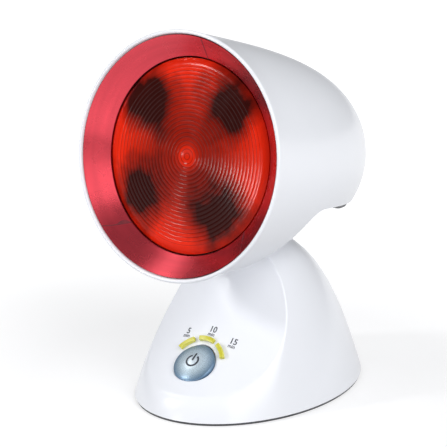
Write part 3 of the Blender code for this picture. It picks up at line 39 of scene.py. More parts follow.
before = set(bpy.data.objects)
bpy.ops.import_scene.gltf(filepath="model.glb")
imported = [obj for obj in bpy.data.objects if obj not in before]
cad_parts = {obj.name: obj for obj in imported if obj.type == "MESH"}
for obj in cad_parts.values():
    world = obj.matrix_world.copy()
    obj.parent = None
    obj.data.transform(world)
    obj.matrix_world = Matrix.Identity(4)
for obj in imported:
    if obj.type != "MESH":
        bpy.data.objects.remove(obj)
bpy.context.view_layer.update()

# Base cover
BASE_HALF_WIDTH = 0.066
BASE_HALF_DEPTH = 0.0909
BASE_HEIGHT = 0.1006
BASE_WALL = 0.0025
BASE_CLEAR_OF_FLOOR = 0.002
DOME_POWER = 2.65
CREASE_SHARP_FROM = 0.050
CREASE_FADE = 0.034
SCOOP_RADIUS = 0.1239
SCOOP_CROWN_RADIUS = 0.1328
HINGE_BACK = 0.010
HINGE_HEIGHT = 0.084
HEAD_TILT = math.radians(9.5)
SLOT_RADIUS = 0.0226
SLOT_HALF_WIDTH = 0.0146
GLAND_HEIGHT = 0.017
GLAND_HOLE_RADIUS = 0.0058
GLAND_HOLE_DEPTH = 0.03
# Dark ring under the cover's edge: painted shadow of the gap between the cover and the floor
GAP_SHADOW_LOW = 0.0004
GAP_SHADOW_INSET = 0.0001
GAP_SHADOW_SLANT = 0.0006

# Button and timer windows
BUTTON_FORWARD = 0.060203
BUTTON_HEIGHT = 0.02913
BUTTON_SLOPE = math.radians(36.44)
SCOOP_AXIS_FORWARD = BUTTON_FORWARD + SCOOP_RADIUS * math.sin(BUTTON_SLOPE)
SCOOP_AXIS_HEIGHT = BUTTON_HEIGHT + SCOOP_RADIUS * math.cos(BUTTON_SLOPE)
BUTTON_RADIUS = 0.014
BUTTON_RING_GAP = 0.0004
BUTTON_CROWN = 0.0028
BUTTON_EDGE_STAND = 0.0006
BUTTON_SKIRT = 0.0046
BUTTON_EASE = 0.0008
BUTTON_WALL = 0.0015
SYMBOL_GAP = math.radians(28)
SYMBOL_STAND = 0.00010
SYMBOL_THICKNESS = 0.00008
BAR_START_SHARE = 0.02
BAR_LENGTH_SHARE = 1.42
WINDOW_RADIUS = 0.0188
WINDOW_WIDTH = 0.003
WINDOW_HALF_ANGLE = math.radians(17)
WINDOW_ANGLES = {"05": math.radians(135), "10": math.radians(90), "15": math.radians(45)}
WINDOW_STAND = 0.0002
MARK_PLACES = {"5": (-0.0179, 0.0222), "10": (0.0003, 0.0262), "15": (0.0179, 0.0222)}
UNIT_SHARE = 0.62
TYPE_SIZE_SHARE = 1.35
PRINT_BOLDNESS = 0.00009
PRINT_STAND = 0.00003
PRINT_THICKNESS = 0.00005

# Head, liner and lens
RIM_REACH = 0.102
AXIS_RISE = 0.0683
HEAD_RADIUS = 0.0772
HEAD_LENGTH = 0.165
HEAD_WALL = 0.0025
HEAD_TAPER_SHARE = 0.24
HEAD_EASE_SHARE = 0.12
HEAD_SQUARENESS = 3
CUT_DROP = 0.0259
CUT_START = 0.0775
CUT_BEND_RADIUS = 0.022
CUT_ANGLE = math.radians(55)
CUT_RUN = 0.060
LAMP_ROOM = 0.002
REFLECTOR_VERTEX = 0.084
REFLECTOR_FOCUS = 0.012805
LAMP_ROOM_FRONT = 0.019
REFLECTOR_GLASS = 0.0026
NECK_GLASS_RADIUS = 0.0165
LENS_RADIUS = 0.0603
LENS_FACE_DEPTH = 0.0125
LENS_EDGE_DEPTH = 0.0142
LENS_SKIRT = 0.0045
LENS_THICKNESS = 0.003
LENS_BAND = 0.0055
LENS_CENTRE_RADIUS = 0.0045
RIB_LEAN = 0.6
# Painted dark reflections on the lens: angle, and distance from the centre as a share of the radius
PAINTED_DARK_REFLECTIONS = (
    (math.radians(43), 0.75), (math.radians(128), 0.77),
    (math.radians(229), 0.65), (math.radians(322), 0.70),
)
LINER_FRONT = 0.0016
LINER_SHEET = 0.001
LINER_THROAT_RADIUS = 0.0614
LINER_THROAT_DEPTH = 0.0136
LINER_COLLAR_END = 0.024
LINER_MOUTH_RADIUS = 0.0740
# Dark strips on the liner, the foil's real seam and tabs drawn as painted shadow along their edges:
# angle at the lens, turn up to the rim, turn where the tab opens (in degrees), width, and width added
# where the tab opens
LINER_STRIPS = {
    "liner_seam_shadow": (97.5, 0, 0, 0.0005, 0),
    "liner_tab_low_shadow": (309.5, 6.5, 1, 0.0007, 0.0022),
    "liner_tab_side_shadow": (219.5, 3.5, 0, 0.0006, 0.0016),
}
STRIP_THICKNESS = 0.0002
TAB_START_SHARE = 0.15
TAB_END_SHARE = 0.25
TAB_FADE_SHARE = 0.3
VENT_SLOTS = 4
VENT_SLOT_FIRST = 0.1215
VENT_SLOT_PITCH = 0.0052
VENT_SLOT_WIDTH = 0.0024
VENT_SLOT_HALF_LENGTH = 0.022

# Fineness of the meshes
AROUND = 192
HEAD_AROUND = 160
SCOOP_ROWS = 40
DOME_ROWS = 60
INSIDE_ROWS = 12
CREASE_CROWDING = 1.7
SAMPLES = 320
HEAD_ROWS = 44
LIP_ROWS = 6
BEND_ROWS = 16
RIB_ROWS = 8
LENS_EDGE_ROWS = 8
LINER_ROWS = 8
LAMP_ROOM_ROWS = 16
CAP_ROWS = 24
CAP_EASE_ROWS = 6
GAP_SHADOW_ROWS = 4
WINDOW_COLUMNS = 20
WINDOW_ROWS = 6
STRIP_COLUMNS = 4
STRIP_ROWS = 24
RING_COLUMNS = 60
BAR_ROWS = 16
STROKE_ROWS = 3
ROUND = 96
SMALL_ROUND = 48
LANDING_STEPS = 6
EDGE_SEGMENTS = 3
EDGE_ANGLE = math.radians(50)
WELD = 0.000002
OVERRUN = 0.004
SMOOTH_ANGLE = math.radians(32)
TRUE_ENOUGH = math.cos(math.radians(14))

# Camera, found by fitting the photograph
CAMERA_AZIMUTH = math.radians(36.73)
CAMERA_ELEVATION = math.radians(15.72)
CAMERA_DISTANCE = 1.2
CAMERA_LENS = 147.24
CAMERA_TARGET = Vector((-0.02209, 0, 0.10463))
CAMERA_SENSOR = 36
CAMERA_NEAR = 0.05
CAMERA_FAR = 40

# Lamps of the studio: place, width, height and power
STUDIO_AIM = (0, 0, 0.1)
STUDIO_LAMPS = {
    "key": ((-0.96, -1.32, 0.86), 0.22, 0.22, 9.5),
    "top": ((-0.80, -0.40, 1.15), 0.5, 0.5, 2),
    "front": ((-0.40, -1.35, 0.13), 0.10, 0.18, 3),
    "right": ((1.45, -0.48, 0.92), 1.4, 1.4, 23),
}
ROOM_COLOUR = (0.96, 0.98, 1, 1)
ROOM_LEVEL = 0.30
BACKDROP_LEVEL = 1.05
FLOOR_RADIUS = 8
FLOOR_COLOUR = (0.48, 0.48, 0.49, 1)
FLOOR_ROUGHNESS = 0.9
FLOOR_LEVEL_NEAR = 0.60
FLOOR_LEVEL_FAR = 1.0
FLOOR_NEAR = 0.15
FLOOR_FAR = 0.6

# Finishes of the slots: name, colour, depth of the mottle, its scale, gloss and grain;
# for drawn metal also how metallic it is and how the grain is stretched
DRAWN = (1, 1, 0.08)
SLOT_FINISHES = {
    "dark_plastic": ("dark plastic", (0.055, 0.056, 0.062), 0.15, 60, 0.5, 0.00006),
    "black_glass": ("black glass", (0.012, 0.012, 0.014), 0.3, 120, 0.12, 0.00001),
    "rubber": ("rubber", (0.03, 0.03, 0.032), 0.25, 220, 0.8, 0.0001),
    "steel": ("steel", (0.56, 0.57, 0.60), 0.08, 90, 0.34, 0.00003, 1, DRAWN),
    "brass": ("brass", (0.72, 0.50, 0.20), 0.10, 90, 0.30, 0.00003, 1, DRAWN),
    "green_plastic": ("green plastic", (0.05, 0.30, 0.12), 0.12, 150, 0.4, 0.00004),
    "amber_plastic": ("amber plastic", (0.85, 0.45, 0.06), 0.15, 150, 0.25, 0.00003),
    "clear_glass": ("clear glass", (0.80, 0.83, 0.84), 0.04, 90, 0.08, 0.00001),
    "ceramic": ("ceramic", (0.80, 0.78, 0.72), 0.05, 180, 0.4, 0.00004),
    "red_glass": ("red glass", (0.55, 0.03, 0.01), 0.15, 60, 0.12, 0.00002),
}
# Dark crimson of the liner's strips: painted shadow along the foil's seam and tabs
LAP_SHADOW_FINISH = ("crimson, painted lap shadow", (0.16, 0.012, 0.02), 0.2, 300, 0.45, 0.00003)

# The lens' brightness from its centre to its edge, a painted reflection of the reflector, and across
# one of its ribs, painted shade that is darker in the grooves
LENS_REFLECTION_LEVELS = (
    (0.0, 0.66), (0.09, 0.70), (0.12, 0.48), (0.20, 0.31),
    (0.40, 0.36), (0.62, 0.58), (0.88, 0.84), (1.0, 0.66),
)
RIB_GROOVE_SHADE_LEVELS = ((0.0, 0.45), (0.18, 1), (0.86, 1), (1.0, 0.45))
# Core, reach and depth of the painted dark reflections on the lens
DARK_REFLECTION_CORE = 0.19
DARK_REFLECTION_REACH = 0.48
DARK_REFLECTION_DEPTH = 0.93


class LampSizes(bpy.types.PropertyGroup):
    """Sizes of the details that the solids don't have."""
    crease_soft: bpy.props.FloatProperty(
        name="Lower crease", description="How wide the scoop's edge rounds off low down",
        default=0.0090, min=0.001, max=0.02, subtype="DISTANCE", unit="LENGTH")
    crease_sharp: bpy.props.FloatProperty(
        name="Upper crease", description="How wide the scoop's edge rounds off high up",
        default=0.0016, min=0.0005, max=0.02, subtype="DISTANCE", unit="LENGTH")
    lens_ribs: bpy.props.IntProperty(
        name="Lens ribs", description="How many rings are pressed into the lens",
        default=20, min=4, max=40)
    rib_height: bpy.props.FloatProperty(
        name="Rib height", description="How far the lens rings stand up",
        default=0.00018, min=0, max=0.0005, subtype="DISTANCE", unit="LENGTH")
    symbol_radius: bpy.props.FloatProperty(
        name="Symbol radius", description="Radius of the ring of the power symbol",
        default=0.0040, min=0.002, max=0.006, subtype="DISTANCE", unit="LENGTH")
    symbol_stroke: bpy.props.FloatProperty(
        name="Symbol stroke", description="Width of the lines of the power symbol",
        default=0.0012, min=0.0003, max=0.002, subtype="DISTANCE", unit="LENGTH")
    number_height: bpy.props.FloatProperty(
        name="Number height", description="Height of the minutes beside the windows",
        default=0.0042, min=0.002, max=0.006, subtype="DISTANCE", unit="LENGTH")
    number_drop: bpy.props.FloatProperty(
        name="Unit drop", description="How far the unit stands below its number",
        default=0.0034, min=0.001, max=0.006, subtype="DISTANCE", unit="LENGTH")


class LampColours(bpy.types.PropertyGroup):
    """Colours of the surfaces that show."""
    shell: bpy.props.FloatVectorProperty(
        name="Shell", description="White plastic of the base and the head",
        default=(0.87, 0.885, 0.93), min=0, max=1, subtype="COLOR")
    liner: bpy.props.FloatVectorProperty(
        name="Liner", description="Crimson foil between the rim and the lens",
        default=(0.62, 0.050, 0.072), min=0, max=1, subtype="COLOR")
    # The lens' two colours are painted reflection: bright where the reflector shows, dark in the
    # painted dark reflections
    lens_bright_reflection: bpy.props.FloatVectorProperty(
        name="Lens, bright", description="Red glass where the reflector shows through",
        default=(0.95, 0.026, 0.004), min=0, max=1, subtype="COLOR")
    lens_dark_reflection: bpy.props.FloatVectorProperty(
        name="Lens, dark", description="Red glass in front of the dark places",
        default=(0.030, 0.002, 0.001), min=0, max=1, subtype="COLOR")
    button: bpy.props.FloatVectorProperty(
        name="Button", description="Silver-blue paint of the button",
        default=(0.50, 0.62, 0.70), min=0, max=1, subtype="COLOR")
    window: bpy.props.FloatVectorProperty(
        name="Timer windows", description="Yellow plastic of the timer windows",
        default=(0.58, 0.54, 0.03), min=0, max=1, subtype="COLOR")
    marks: bpy.props.FloatVectorProperty(
        name="Marks", description="Print on the base and on the button",
        default=(0.045, 0.05, 0.065), min=0, max=1, subtype="COLOR")


# Shapes shared with the solids

def button_frame():
    """The button's centre on the scoop, with z out of the surface and y up the slope."""
    place = Matrix.Translation((0, -BUTTON_FORWARD, BUTTON_HEIGHT))
    return place @ Matrix.Rotation(BUTTON_SLOPE, 4, "X")


def head_frame():
    """The hinge, with the head's tilt."""
    place = Matrix.Translation((0, HINGE_BACK, HINGE_HEIGHT))
    return place @ Matrix.Rotation(-HEAD_TILT, 4, "X")


def lamp_frame():
    """The rim's centre: z backwards along the lamp, y up."""
    turn = Matrix.Rotation(-math.pi / 2, 4, "X") @ Matrix.Rotation(math.pi, 4, "Z")
    return head_frame() @ Matrix.Translation((0, -RIM_REACH, AXIS_RISE)) @ turn


def head_side_frame():
    """The rim's centre from the side: x backwards, y up, z along the lamp's width."""
    columns = Matrix(((0, 0, 1, 0), (1, 0, 0, 0), (0, 1, 0, 0), (0, 0, 0, 1)))
    return head_frame() @ Matrix.Translation((0, -RIM_REACH, AXIS_RISE)) @ columns


def dome_height(x, y, inset):
    share = math.hypot(x / (BASE_HALF_WIDTH - inset), y / (BASE_HALF_DEPTH - inset))
    return (BASE_HEIGHT - inset) * (1 - share ** DOME_POWER)


def scoop_height(x, y, inset):
    crown = math.sqrt((SCOOP_CROWN_RADIUS - inset) ** 2 - x ** 2)
    reach = SCOOP_RADIUS + SCOOP_CROWN_RADIUS - crown
    room = reach ** 2 - (y + SCOOP_AXIS_FORWARD) ** 2
    return SCOOP_AXIS_HEIGHT - math.sqrt(max(0, room))


def eased(share):
    share = min(1, max(0, share))
    return share * share * (3 - 2 * share)


def cover_height(x, y, inset):
    """The cover's height: dome and scoop, with the edge between them rounded off."""
    sizes = bpy.context.scene.lamp_sizes
    dome = dome_height(x, y, inset)
    hollow = scoop_height(x, y, inset)
    low = eased((CREASE_SHARP_FROM - min(dome, hollow)) / CREASE_FADE)
    soft = sizes.crease_sharp + (sizes.crease_soft - sizes.crease_sharp) * low
    near = max(0, soft - abs(dome - hollow)) / soft
    return min(dome, hollow) - near ** 2 * soft / 4


def on_scoop(x, y, stand):
    """The point of the scoop under a place in the button's frame, raised by a stand."""
    place = button_frame()
    z = 0
    for _ in range(LANDING_STEPS):
        point = place @ Vector((x, y, z))
        z += (scoop_height(point.x, point.y, 0) - point.z) * math.cos(BUTTON_SLOPE)
    return place @ Vector((x, y, z + stand))


def head_radius(depth, inset):
    share = min(1, depth / (HEAD_LENGTH - inset))
    taper = 1 - HEAD_TAPER_SHARE * share + HEAD_EASE_SHARE * share ** 2
    round_off = (1 - share ** HEAD_SQUARENESS) ** (1 / HEAD_SQUARENESS)
    return (HEAD_RADIUS - inset) * round_off * taper


def tab_swell(share):
    """How far a tab of the liner opens: from the lens to half way to the rim."""
    return eased(share / TAB_START_SHARE) * (1 - eased((share - TAB_END_SHARE) / TAB_FADE_SHARE))


def liner_cone(share):
    """The liner's radius and depth, from the lens (0) to the rim (1)."""
    radius = LINER_THROAT_RADIUS + (LINER_MOUTH_RADIUS - LINER_THROAT_RADIUS) * share
    return radius, LINER_THROAT_DEPTH + (LINER_FRONT - LINER_THROAT_DEPTH) * share


def arc(centre, radius, start, end, steps):
    points = []
    for step in range(steps + 1):
        angle = start + (end - start) * step / steps
        points.append((centre[0] + radius * math.cos(angle), centre[1] + radius * math.sin(angle)))
    return points


# Modelling helpers

def deselect():
    if bpy.context.object and bpy.context.object.mode != "OBJECT":
        bpy.ops.object.mode_set(mode="OBJECT")
    bpy.ops.object.select_all(action="DESELECT")


def activate(obj):
    deselect()
    obj.select_set(True)
    bpy.context.view_layer.objects.active = obj


def close_up(obj):
    """Merge what coincides and point every face outwards."""
    activate(obj)
    bpy.ops.object.mode_set(mode="EDIT")
    bpy.ops.mesh.select_all(action="SELECT")
    bpy.ops.mesh.remove_doubles(threshold=WELD)
    bpy.ops.mesh.normals_make_consistent(inside=False)
    bpy.ops.object.mode_set(mode="OBJECT")
    return obj


def spun(name, outline, steps, place):
    """Spin an outline of (radius, height) points about the z axis."""
    deselect()
    bpy.ops.mesh.primitive_plane_add(size=HEAD_WALL, location=(0, 0, 0))
    obj = bpy.context.object
    obj.name = name
    bpy.ops.object.mode_set(mode="EDIT")
    bpy.ops.mesh.select_all(action="SELECT")
    bpy.ops.mesh.merge(type="CENTER")
    bpy.ops.transform.translate(value=(outline[0][0], 0, outline[0][1]))
    for (radius, height), (wider, higher) in zip(outline, outline[1:]):
        step = {"value": (wider - radius, 0, higher - height)}
        bpy.ops.mesh.extrude_region_move(TRANSFORM_OT_translate=step)
    bpy.ops.mesh.select_all(action="SELECT")
    bpy.ops.mesh.spin(steps=steps, angle=2 * math.pi, center=(0, 0, 0), axis=(0, 0, 1))
    bpy.ops.object.mode_set(mode="OBJECT")
    obj.data.transform(place)
    return close_up(obj)


def laid(name, columns, rows, place):
    """Lay a grid over a surface: place gives the point of each column and row."""
    deselect()
    bpy.ops.mesh.primitive_grid_add(x_subdivisions=columns, y_subdivisions=rows, size=1)
    obj = bpy.context.object
    obj.name = name
    for vert in obj.data.vertices:
        column = round((vert.co.x + 0.5) * columns)
        vert.co = place(column, round((vert.co.y + 0.5) * rows))
    return obj


def extruded(name, outline, low, high, place):
    """Extrude an outline of (x, y) points along z."""
    deselect()
    bpy.ops.mesh.primitive_circle_add(vertices=len(outline), radius=1, fill_type="NGON")
    obj = bpy.context.object
    obj.name = name
    for vert, (x, y) in zip(obj.data.vertices, outline):
        vert.co = (x, y, low)
    bpy.ops.object.mode_set(mode="EDIT")
    bpy.ops.mesh.select_all(action="SELECT")
    step = {"value": (0, 0, high - low)}
    bpy.ops.mesh.extrude_region_move(TRANSFORM_OT_translate=step)
    bpy.ops.object.mode_set(mode="OBJECT")
    obj.data.transform(place)
    return close_up(obj)


def carve(target, tool, operation="DIFFERENCE"):
    """Apply one Boolean to a target, and remove its tool."""
    activate(target)
    modifier = target.modifiers.new("carve", "BOOLEAN")
    modifier.operation = operation
    modifier.solver = "EXACT"
    modifier.object = tool
    bpy.ops.object.modifier_apply(modifier=modifier.name)
    bpy.data.objects.remove(tool, do_unlink=True)
    return target


def thicken(obj, thickness, offset=1, edge=0):
    """Give a sheet its thickness, and round its edges."""
    activate(obj)
    modifier = obj.modifiers.new("thickness", "SOLIDIFY")
    modifier.thickness = thickness
    modifier.offset = offset
    bpy.ops.object.modifier_apply(modifier=modifier.name)
    if edge:
        modifier = obj.modifiers.new("edge", "BEVEL")
        modifier.width = edge
        modifier.segments = EDGE_SEGMENTS
        modifier.limit_method = "ANGLE"
        modifier.angle_limit = EDGE_ANGLE
        bpy.ops.object.modifier_apply(modifier=modifier.name)


def true_normals(obj, place, normal_at):
    """Shade a cut cover as its form was before the cuts."""
    mesh = obj.data
    back = place.inverted()
    normals = []
    for face in mesh.polygons:
        for corner in face.loop_indices:
            point = back @ mesh.vertices[mesh.loops[corner].vertex_index].co
            own = mesh.corner_normals[corner].vector
            found = normal_at(point)
            if found is not None:
                found = (place.to_3x3() @ found).normalized()
                if found.dot(face.normal) > TRUE_ENOUGH:
                    own = found
            normals.append(tuple(own))
    mesh.normals_split_custom_set(normals)


def settle(obj, body, slot, material, *nodes):
    """Finish a piece: its shading, its material, the body it rides and what it replaces."""
    activate(obj)
    bpy.ops.object.shade_smooth_by_angle(angle=SMOOTH_ANGLE)
    obj.data.materials.clear()
    obj.data.materials.append(material)
    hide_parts(*nodes)
    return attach(obj, body)


# Materials

class Recipe:
    """A material and its nodes, read in the piece's own coordinates."""

    def __init__(self, name, place=None):
        self.material = bpy.data.materials.new(name)
        self.material.use_nodes = True
        self.tree = self.material.node_tree
        self.shader = self.tree.nodes["Principled BSDF"]
        self.place = self.node("ShaderNodeTexCoord").outputs["Object"]
        if place is not None:
            self.place = self.mapped(place)

    def node(self, kind, **settings):
        made = self.tree.nodes.new(kind)
        for key, value in settings.items():
            setattr(made, key, value)
        return made

    def link(self, source, target):
        self.tree.links.new(source, target)

    def mapped(self, place):
        """Coordinates in a frame of their own."""
        back = place.inverted()
        mapping = self.node("ShaderNodeMapping")
        mapping.inputs["Location"].default_value = back.to_translation()
        mapping.inputs["Rotation"].default_value = back.to_euler("XYZ")
        self.link(self.place, mapping.inputs["Vector"])
        return mapping.outputs["Vector"]

    def stretched(self, scale):
        mapping = self.node("ShaderNodeMapping")
        mapping.inputs["Scale"].default_value = scale
        self.link(self.place, mapping.inputs["Vector"])
        return mapping.outputs["Vector"]

    def noise(self, scale, detail=4, vector=None):
        made = self.node("ShaderNodeTexNoise")
        made.inputs["Scale"].default_value = scale
        made.inputs["Detail"].default_value = detail
        self.link(vector or self.place, made.inputs["Vector"])
        return made.outputs["Fac"]

    def math(self, operation, first, second=None):
        made = self.node("ShaderNodeMath", operation=operation)
        for socket, value in zip(made.inputs, (first, second)):
            if isinstance(value, bpy.types.NodeSocket):
                self.link(value, socket)
            elif value is not None:
                socket.default_value = value
        return made.outputs[0]

    def length(self, first, second):
        squares = [self.math("MULTIPLY", side, side) for side in (first, second)]
        return self.math("SQRT", self.math("ADD", *squares))

    def plan(self):
        """The place seen along z: x, y and the distance from the axis."""
        parts = self.node("ShaderNodeSeparateXYZ")
        self.link(self.place, parts.inputs["Vector"])
        x, y = parts.outputs["X"], parts.outputs["Y"]
        return x, y, self.length(x, y)

    def spread(self, value, low, high, start=0.35, end=0.65):
        made = self.node("ShaderNodeMapRange")
        made.inputs["From Min"].default_value = start
        made.inputs["From Max"].default_value = end
        made.inputs["To Min"].default_value = low
        made.inputs["To Max"].default_value = high
        self.link(value, made.inputs["Value"])
        return made.outputs["Result"]

    def ramp(self, value, *stops):
        made = self.node("ShaderNodeValToRGB")
        elements = made.color_ramp.elements
        while len(elements) < len(stops):
            elements.new(1)
        for element, (position, colour) in zip(elements, stops):
            element.position = position
            element.color = (*colour, 1)
        self.link(value, made.inputs["Fac"])
        return made.outputs["Color"]

    def colour(self, value):
        self.link(value, self.shader.inputs["Base Color"])

    def roughness(self, value):
        self.link(value, self.shader.inputs["Roughness"])

    def bump(self, value, distance, strength=0.3):
        made = self.node("ShaderNodeBump")
        made.inputs["Strength"].default_value = strength
        made.inputs["Distance"].default_value = distance
        self.link(value, made.inputs["Height"])
        self.link(made.outputs["Normal"], self.shader.inputs["Normal"])

    def set(self, **values):
        for name, value in values.items():
            self.shader.inputs[name.replace("_", " ")].default_value = value
        return self


def greys(levels):
    """Ramp stops of grey."""
    return [(position, (level,) * 3) for position, level in levels]


def shaded(colour, share):
    return tuple(min(1, channel * share) for channel in colour)


def grainy(name, colour, depth, scale, gloss, grain, metallic=0, stretch=None, spread=0.05):
    """A moulded, cast or drawn surface: mottled colour, uneven gloss and a fine grain."""
    recipe = Recipe(name)
    vector = recipe.stretched(stretch) if stretch else None
    mottle = recipe.noise(scale, 5, vector)
    darker, paler = shaded(colour, 1 - depth), shaded(colour, 1 + depth)
    recipe.colour(recipe.ramp(mottle, (0.3, darker), (0.7, paler)))
    recipe.roughness(recipe.spread(recipe.noise(scale * 3, 3, vector), gloss - spread, gloss + spread))
    recipe.bump(recipe.noise(scale * 8, 2, vector), grain)
    recipe.set(Metallic=metallic)
    return recipe


def shell_material():
    """Glossy white plastic, a little blue."""
    colour = tuple(bpy.context.scene.lamp_colours.shell)
    recipe = grainy("white shell", colour, 0.004, 30, 0.30, 0.000004, spread=0.01)
    recipe.set(Coat_Weight=0.25, Coat_Roughness=0.12, IOR=1.45)
    return recipe.material


def liner_material():
    """Crimson foil, drawn round, with faint streaks."""
    colour = tuple(bpy.context.scene.lamp_colours.liner)
    recipe = Recipe("crimson foil", lamp_frame())
    streaks = recipe.noise(90, 3, recipe.stretched((0.15, 0.15, 3)))
    tint = recipe.ramp(streaks, (0.3, shaded(colour, 0.9)), (0.7, shaded(colour, 1.1)))
    recipe.colour(tint)
    recipe.roughness(recipe.spread(recipe.noise(60), 0.24, 0.32))
    recipe.bump(recipe.noise(240), 0.000004)
    recipe.set(Metallic=0.9, Coat_Weight=0.25, Coat_Roughness=0.25)
    return recipe.material


def lens_material():
    """Red pressed glass with rings; painted reflections of the reflector, dark places on the diagonals
    and bright places between them, and painted shade in the rib grooves.
    """
    colours = bpy.context.scene.lamp_colours
    sizes = bpy.context.scene.lamp_sizes
    recipe = Recipe("red pressed glass, painted reflections", lamp_frame())
    x, y, away = recipe.plan()
    share = recipe.math("DIVIDE", away, LENS_RADIUS)
    wander = recipe.spread(recipe.noise(60, 4), -0.13, 0.13, 0.25, 0.75)
    nearest = None
    # Painted reflections: dark places on the diagonals
    for turn, reach in PAINTED_DARK_REFLECTIONS:
        aside = recipe.math("SUBTRACT", x, reach * LENS_RADIUS * math.cos(turn))
        above = recipe.math("SUBTRACT", y, reach * LENS_RADIUS * math.sin(turn))
        gap = recipe.math("DIVIDE", recipe.length(aside, above), LENS_RADIUS)
        nearest = gap if nearest is None else recipe.math("MINIMUM", nearest, gap)
    gap = recipe.math("ADD", nearest, wander)
    dark_reflection = recipe.spread(gap, DARK_REFLECTION_DEPTH, 0, DARK_REFLECTION_CORE, DARK_REFLECTION_REACH)
    # Painted reflection: the lens' brightness from its centre to its edge
    body = recipe.ramp(share, *greys(LENS_REFLECTION_LEVELS))
    outer = LENS_RADIUS - LENS_BAND
    pitch = (outer - LENS_CENTRE_RADIUS) / sizes.lens_ribs
    turns = recipe.math("DIVIDE", recipe.math("SUBTRACT", away, LENS_CENTRE_RADIUS), pitch)
    wave = recipe.math("FRACT", turns)
    # Painted shade: each rib darker in its groove
    groove_shade = recipe.ramp(wave, *greys(RIB_GROOVE_SHADE_LEVELS))
    ribbed = recipe.math("LESS_THAN", away, outer)
    shade = recipe.node("ShaderNodeMix", data_type="FLOAT")
    recipe.link(ribbed, shade.inputs["Factor"])
    shade.inputs["A"].default_value = 1
    recipe.link(groove_shade, shade.inputs["B"])
    lit = recipe.math("MULTIPLY", body, shade.outputs[0])
    lit = recipe.math("MULTIPLY", lit, recipe.math("SUBTRACT", 1, dark_reflection))
    bright, dark = tuple(colours.lens_bright_reflection), tuple(colours.lens_dark_reflection)
    middle = tuple(0.42 * more + 0.1 * less for more, less in zip(bright, dark))
    recipe.colour(recipe.ramp(lit, (0.05, dark), (0.45, middle), (0.95, bright)))
    recipe.roughness(recipe.spread(recipe.noise(200), 0.12, 0.20))
    recipe.bump(recipe.noise(320, 2), 0.00003)
    recipe.set(IOR=1.45, Specular_IOR_Level=0.12)
    return recipe.material


def button_material():
    """Silver-blue metallic paint, with a painted highlight that makes it lighter in the middle and
    painted shade that makes it darker and bluer at the rim.
    """
    colour = tuple(bpy.context.scene.lamp_colours.button)
    recipe = Recipe("silver-blue paint, painted highlight and shade", button_frame())
    _, _, away = recipe.plan()
    flake = recipe.spread(recipe.noise(2600, 1), -0.03, 0.03)
    share = recipe.math("ADD", recipe.math("DIVIDE", away, BUTTON_RADIUS), flake)
    # Painted highlight in the middle and painted shade at the rim
    pale = tuple(0.35 + 0.65 * channel for channel in colour)
    edge = tuple(channel * tint for channel, tint in zip(colour, (0.22, 0.33, 0.46)))
    recipe.colour(recipe.ramp(share, (0.1, pale), (0.62, colour), (1.0, edge)))
    recipe.roughness(recipe.spread(recipe.noise(2600, 1), 0.26, 0.34))
    recipe.bump(recipe.noise(4000, 1), 0.000004)
    recipe.set(Metallic=0.45, Coat_Weight=0.6, Coat_Roughness=0.08)
    return recipe.material


def window_material():
    """Yellow plastic, deeper along its middle, with a painted glow that makes it paler towards its
    edges.
    """
    colour = tuple(bpy.context.scene.lamp_colours.window)
    recipe = Recipe("yellow window", button_frame())
    _, _, away = recipe.plan()
    off_middle = recipe.math("ABSOLUTE", recipe.math("SUBTRACT", away, WINDOW_RADIUS))
    across = recipe.math("DIVIDE", off_middle, WINDOW_WIDTH / 2)
    mixed = recipe.math("ADD", across, recipe.spread(recipe.noise(500), -0.2, 0.2))
    # Painted glow: paler towards the window's edges
    pale = tuple(0.30 * share + 0.75 * channel for share, channel in zip((1, 1, 0.35), colour))
    recipe.colour(recipe.ramp(mixed, (0.35, colour), (0.95, pale)))
    recipe.roughness(recipe.spread(recipe.noise(300), 0.12, 0.25))
    recipe.bump(recipe.noise(900, 2), 0.00002)
    recipe.set(Coat_Weight=0.5, Coat_Roughness=0.05)
    return recipe.material


def mark_material():
    colour = tuple(bpy.context.scene.lamp_colours.marks)
    return grainy("slate print", colour, 0.2, 900, 0.5, 0.00001).material


def board_material():
    """Green lacquer over copper tracks."""
    recipe = Recipe("circuit board")
    tracks = recipe.node("ShaderNodeTexBrick")
    tracks.inputs["Scale"].default_value = 260
    tracks.inputs["Mortar Size"].default_value = 0.06
    tracks.inputs["Color1"].default_value = (0.02, 0.12, 0.05, 1)
    tracks.inputs["Color2"].default_value = (0.03, 0.16, 0.07, 1)
    tracks.inputs["Mortar"].default_value = (0.10, 0.30, 0.12, 1)
    recipe.link(recipe.place, tracks.inputs["Vector"])
    recipe.colour(tracks.outputs["Color"])
    recipe.roughness(recipe.spread(recipe.noise(300), 0.3, 0.5))
    recipe.bump(tracks.outputs["Fac"], 0.00004)
    return recipe.material


def slot_materials():
    """One material for each of the record's slots."""
    made = {slot: grainy(*finish).material for slot, finish in SLOT_FINISHES.items()}
    made["circuit_board"] = board_material()
    made["white_shell"] = shell_material()
    made["silver_blue"] = button_material()
    made["crimson_foil"] = liner_material()
    return made


# Base cover

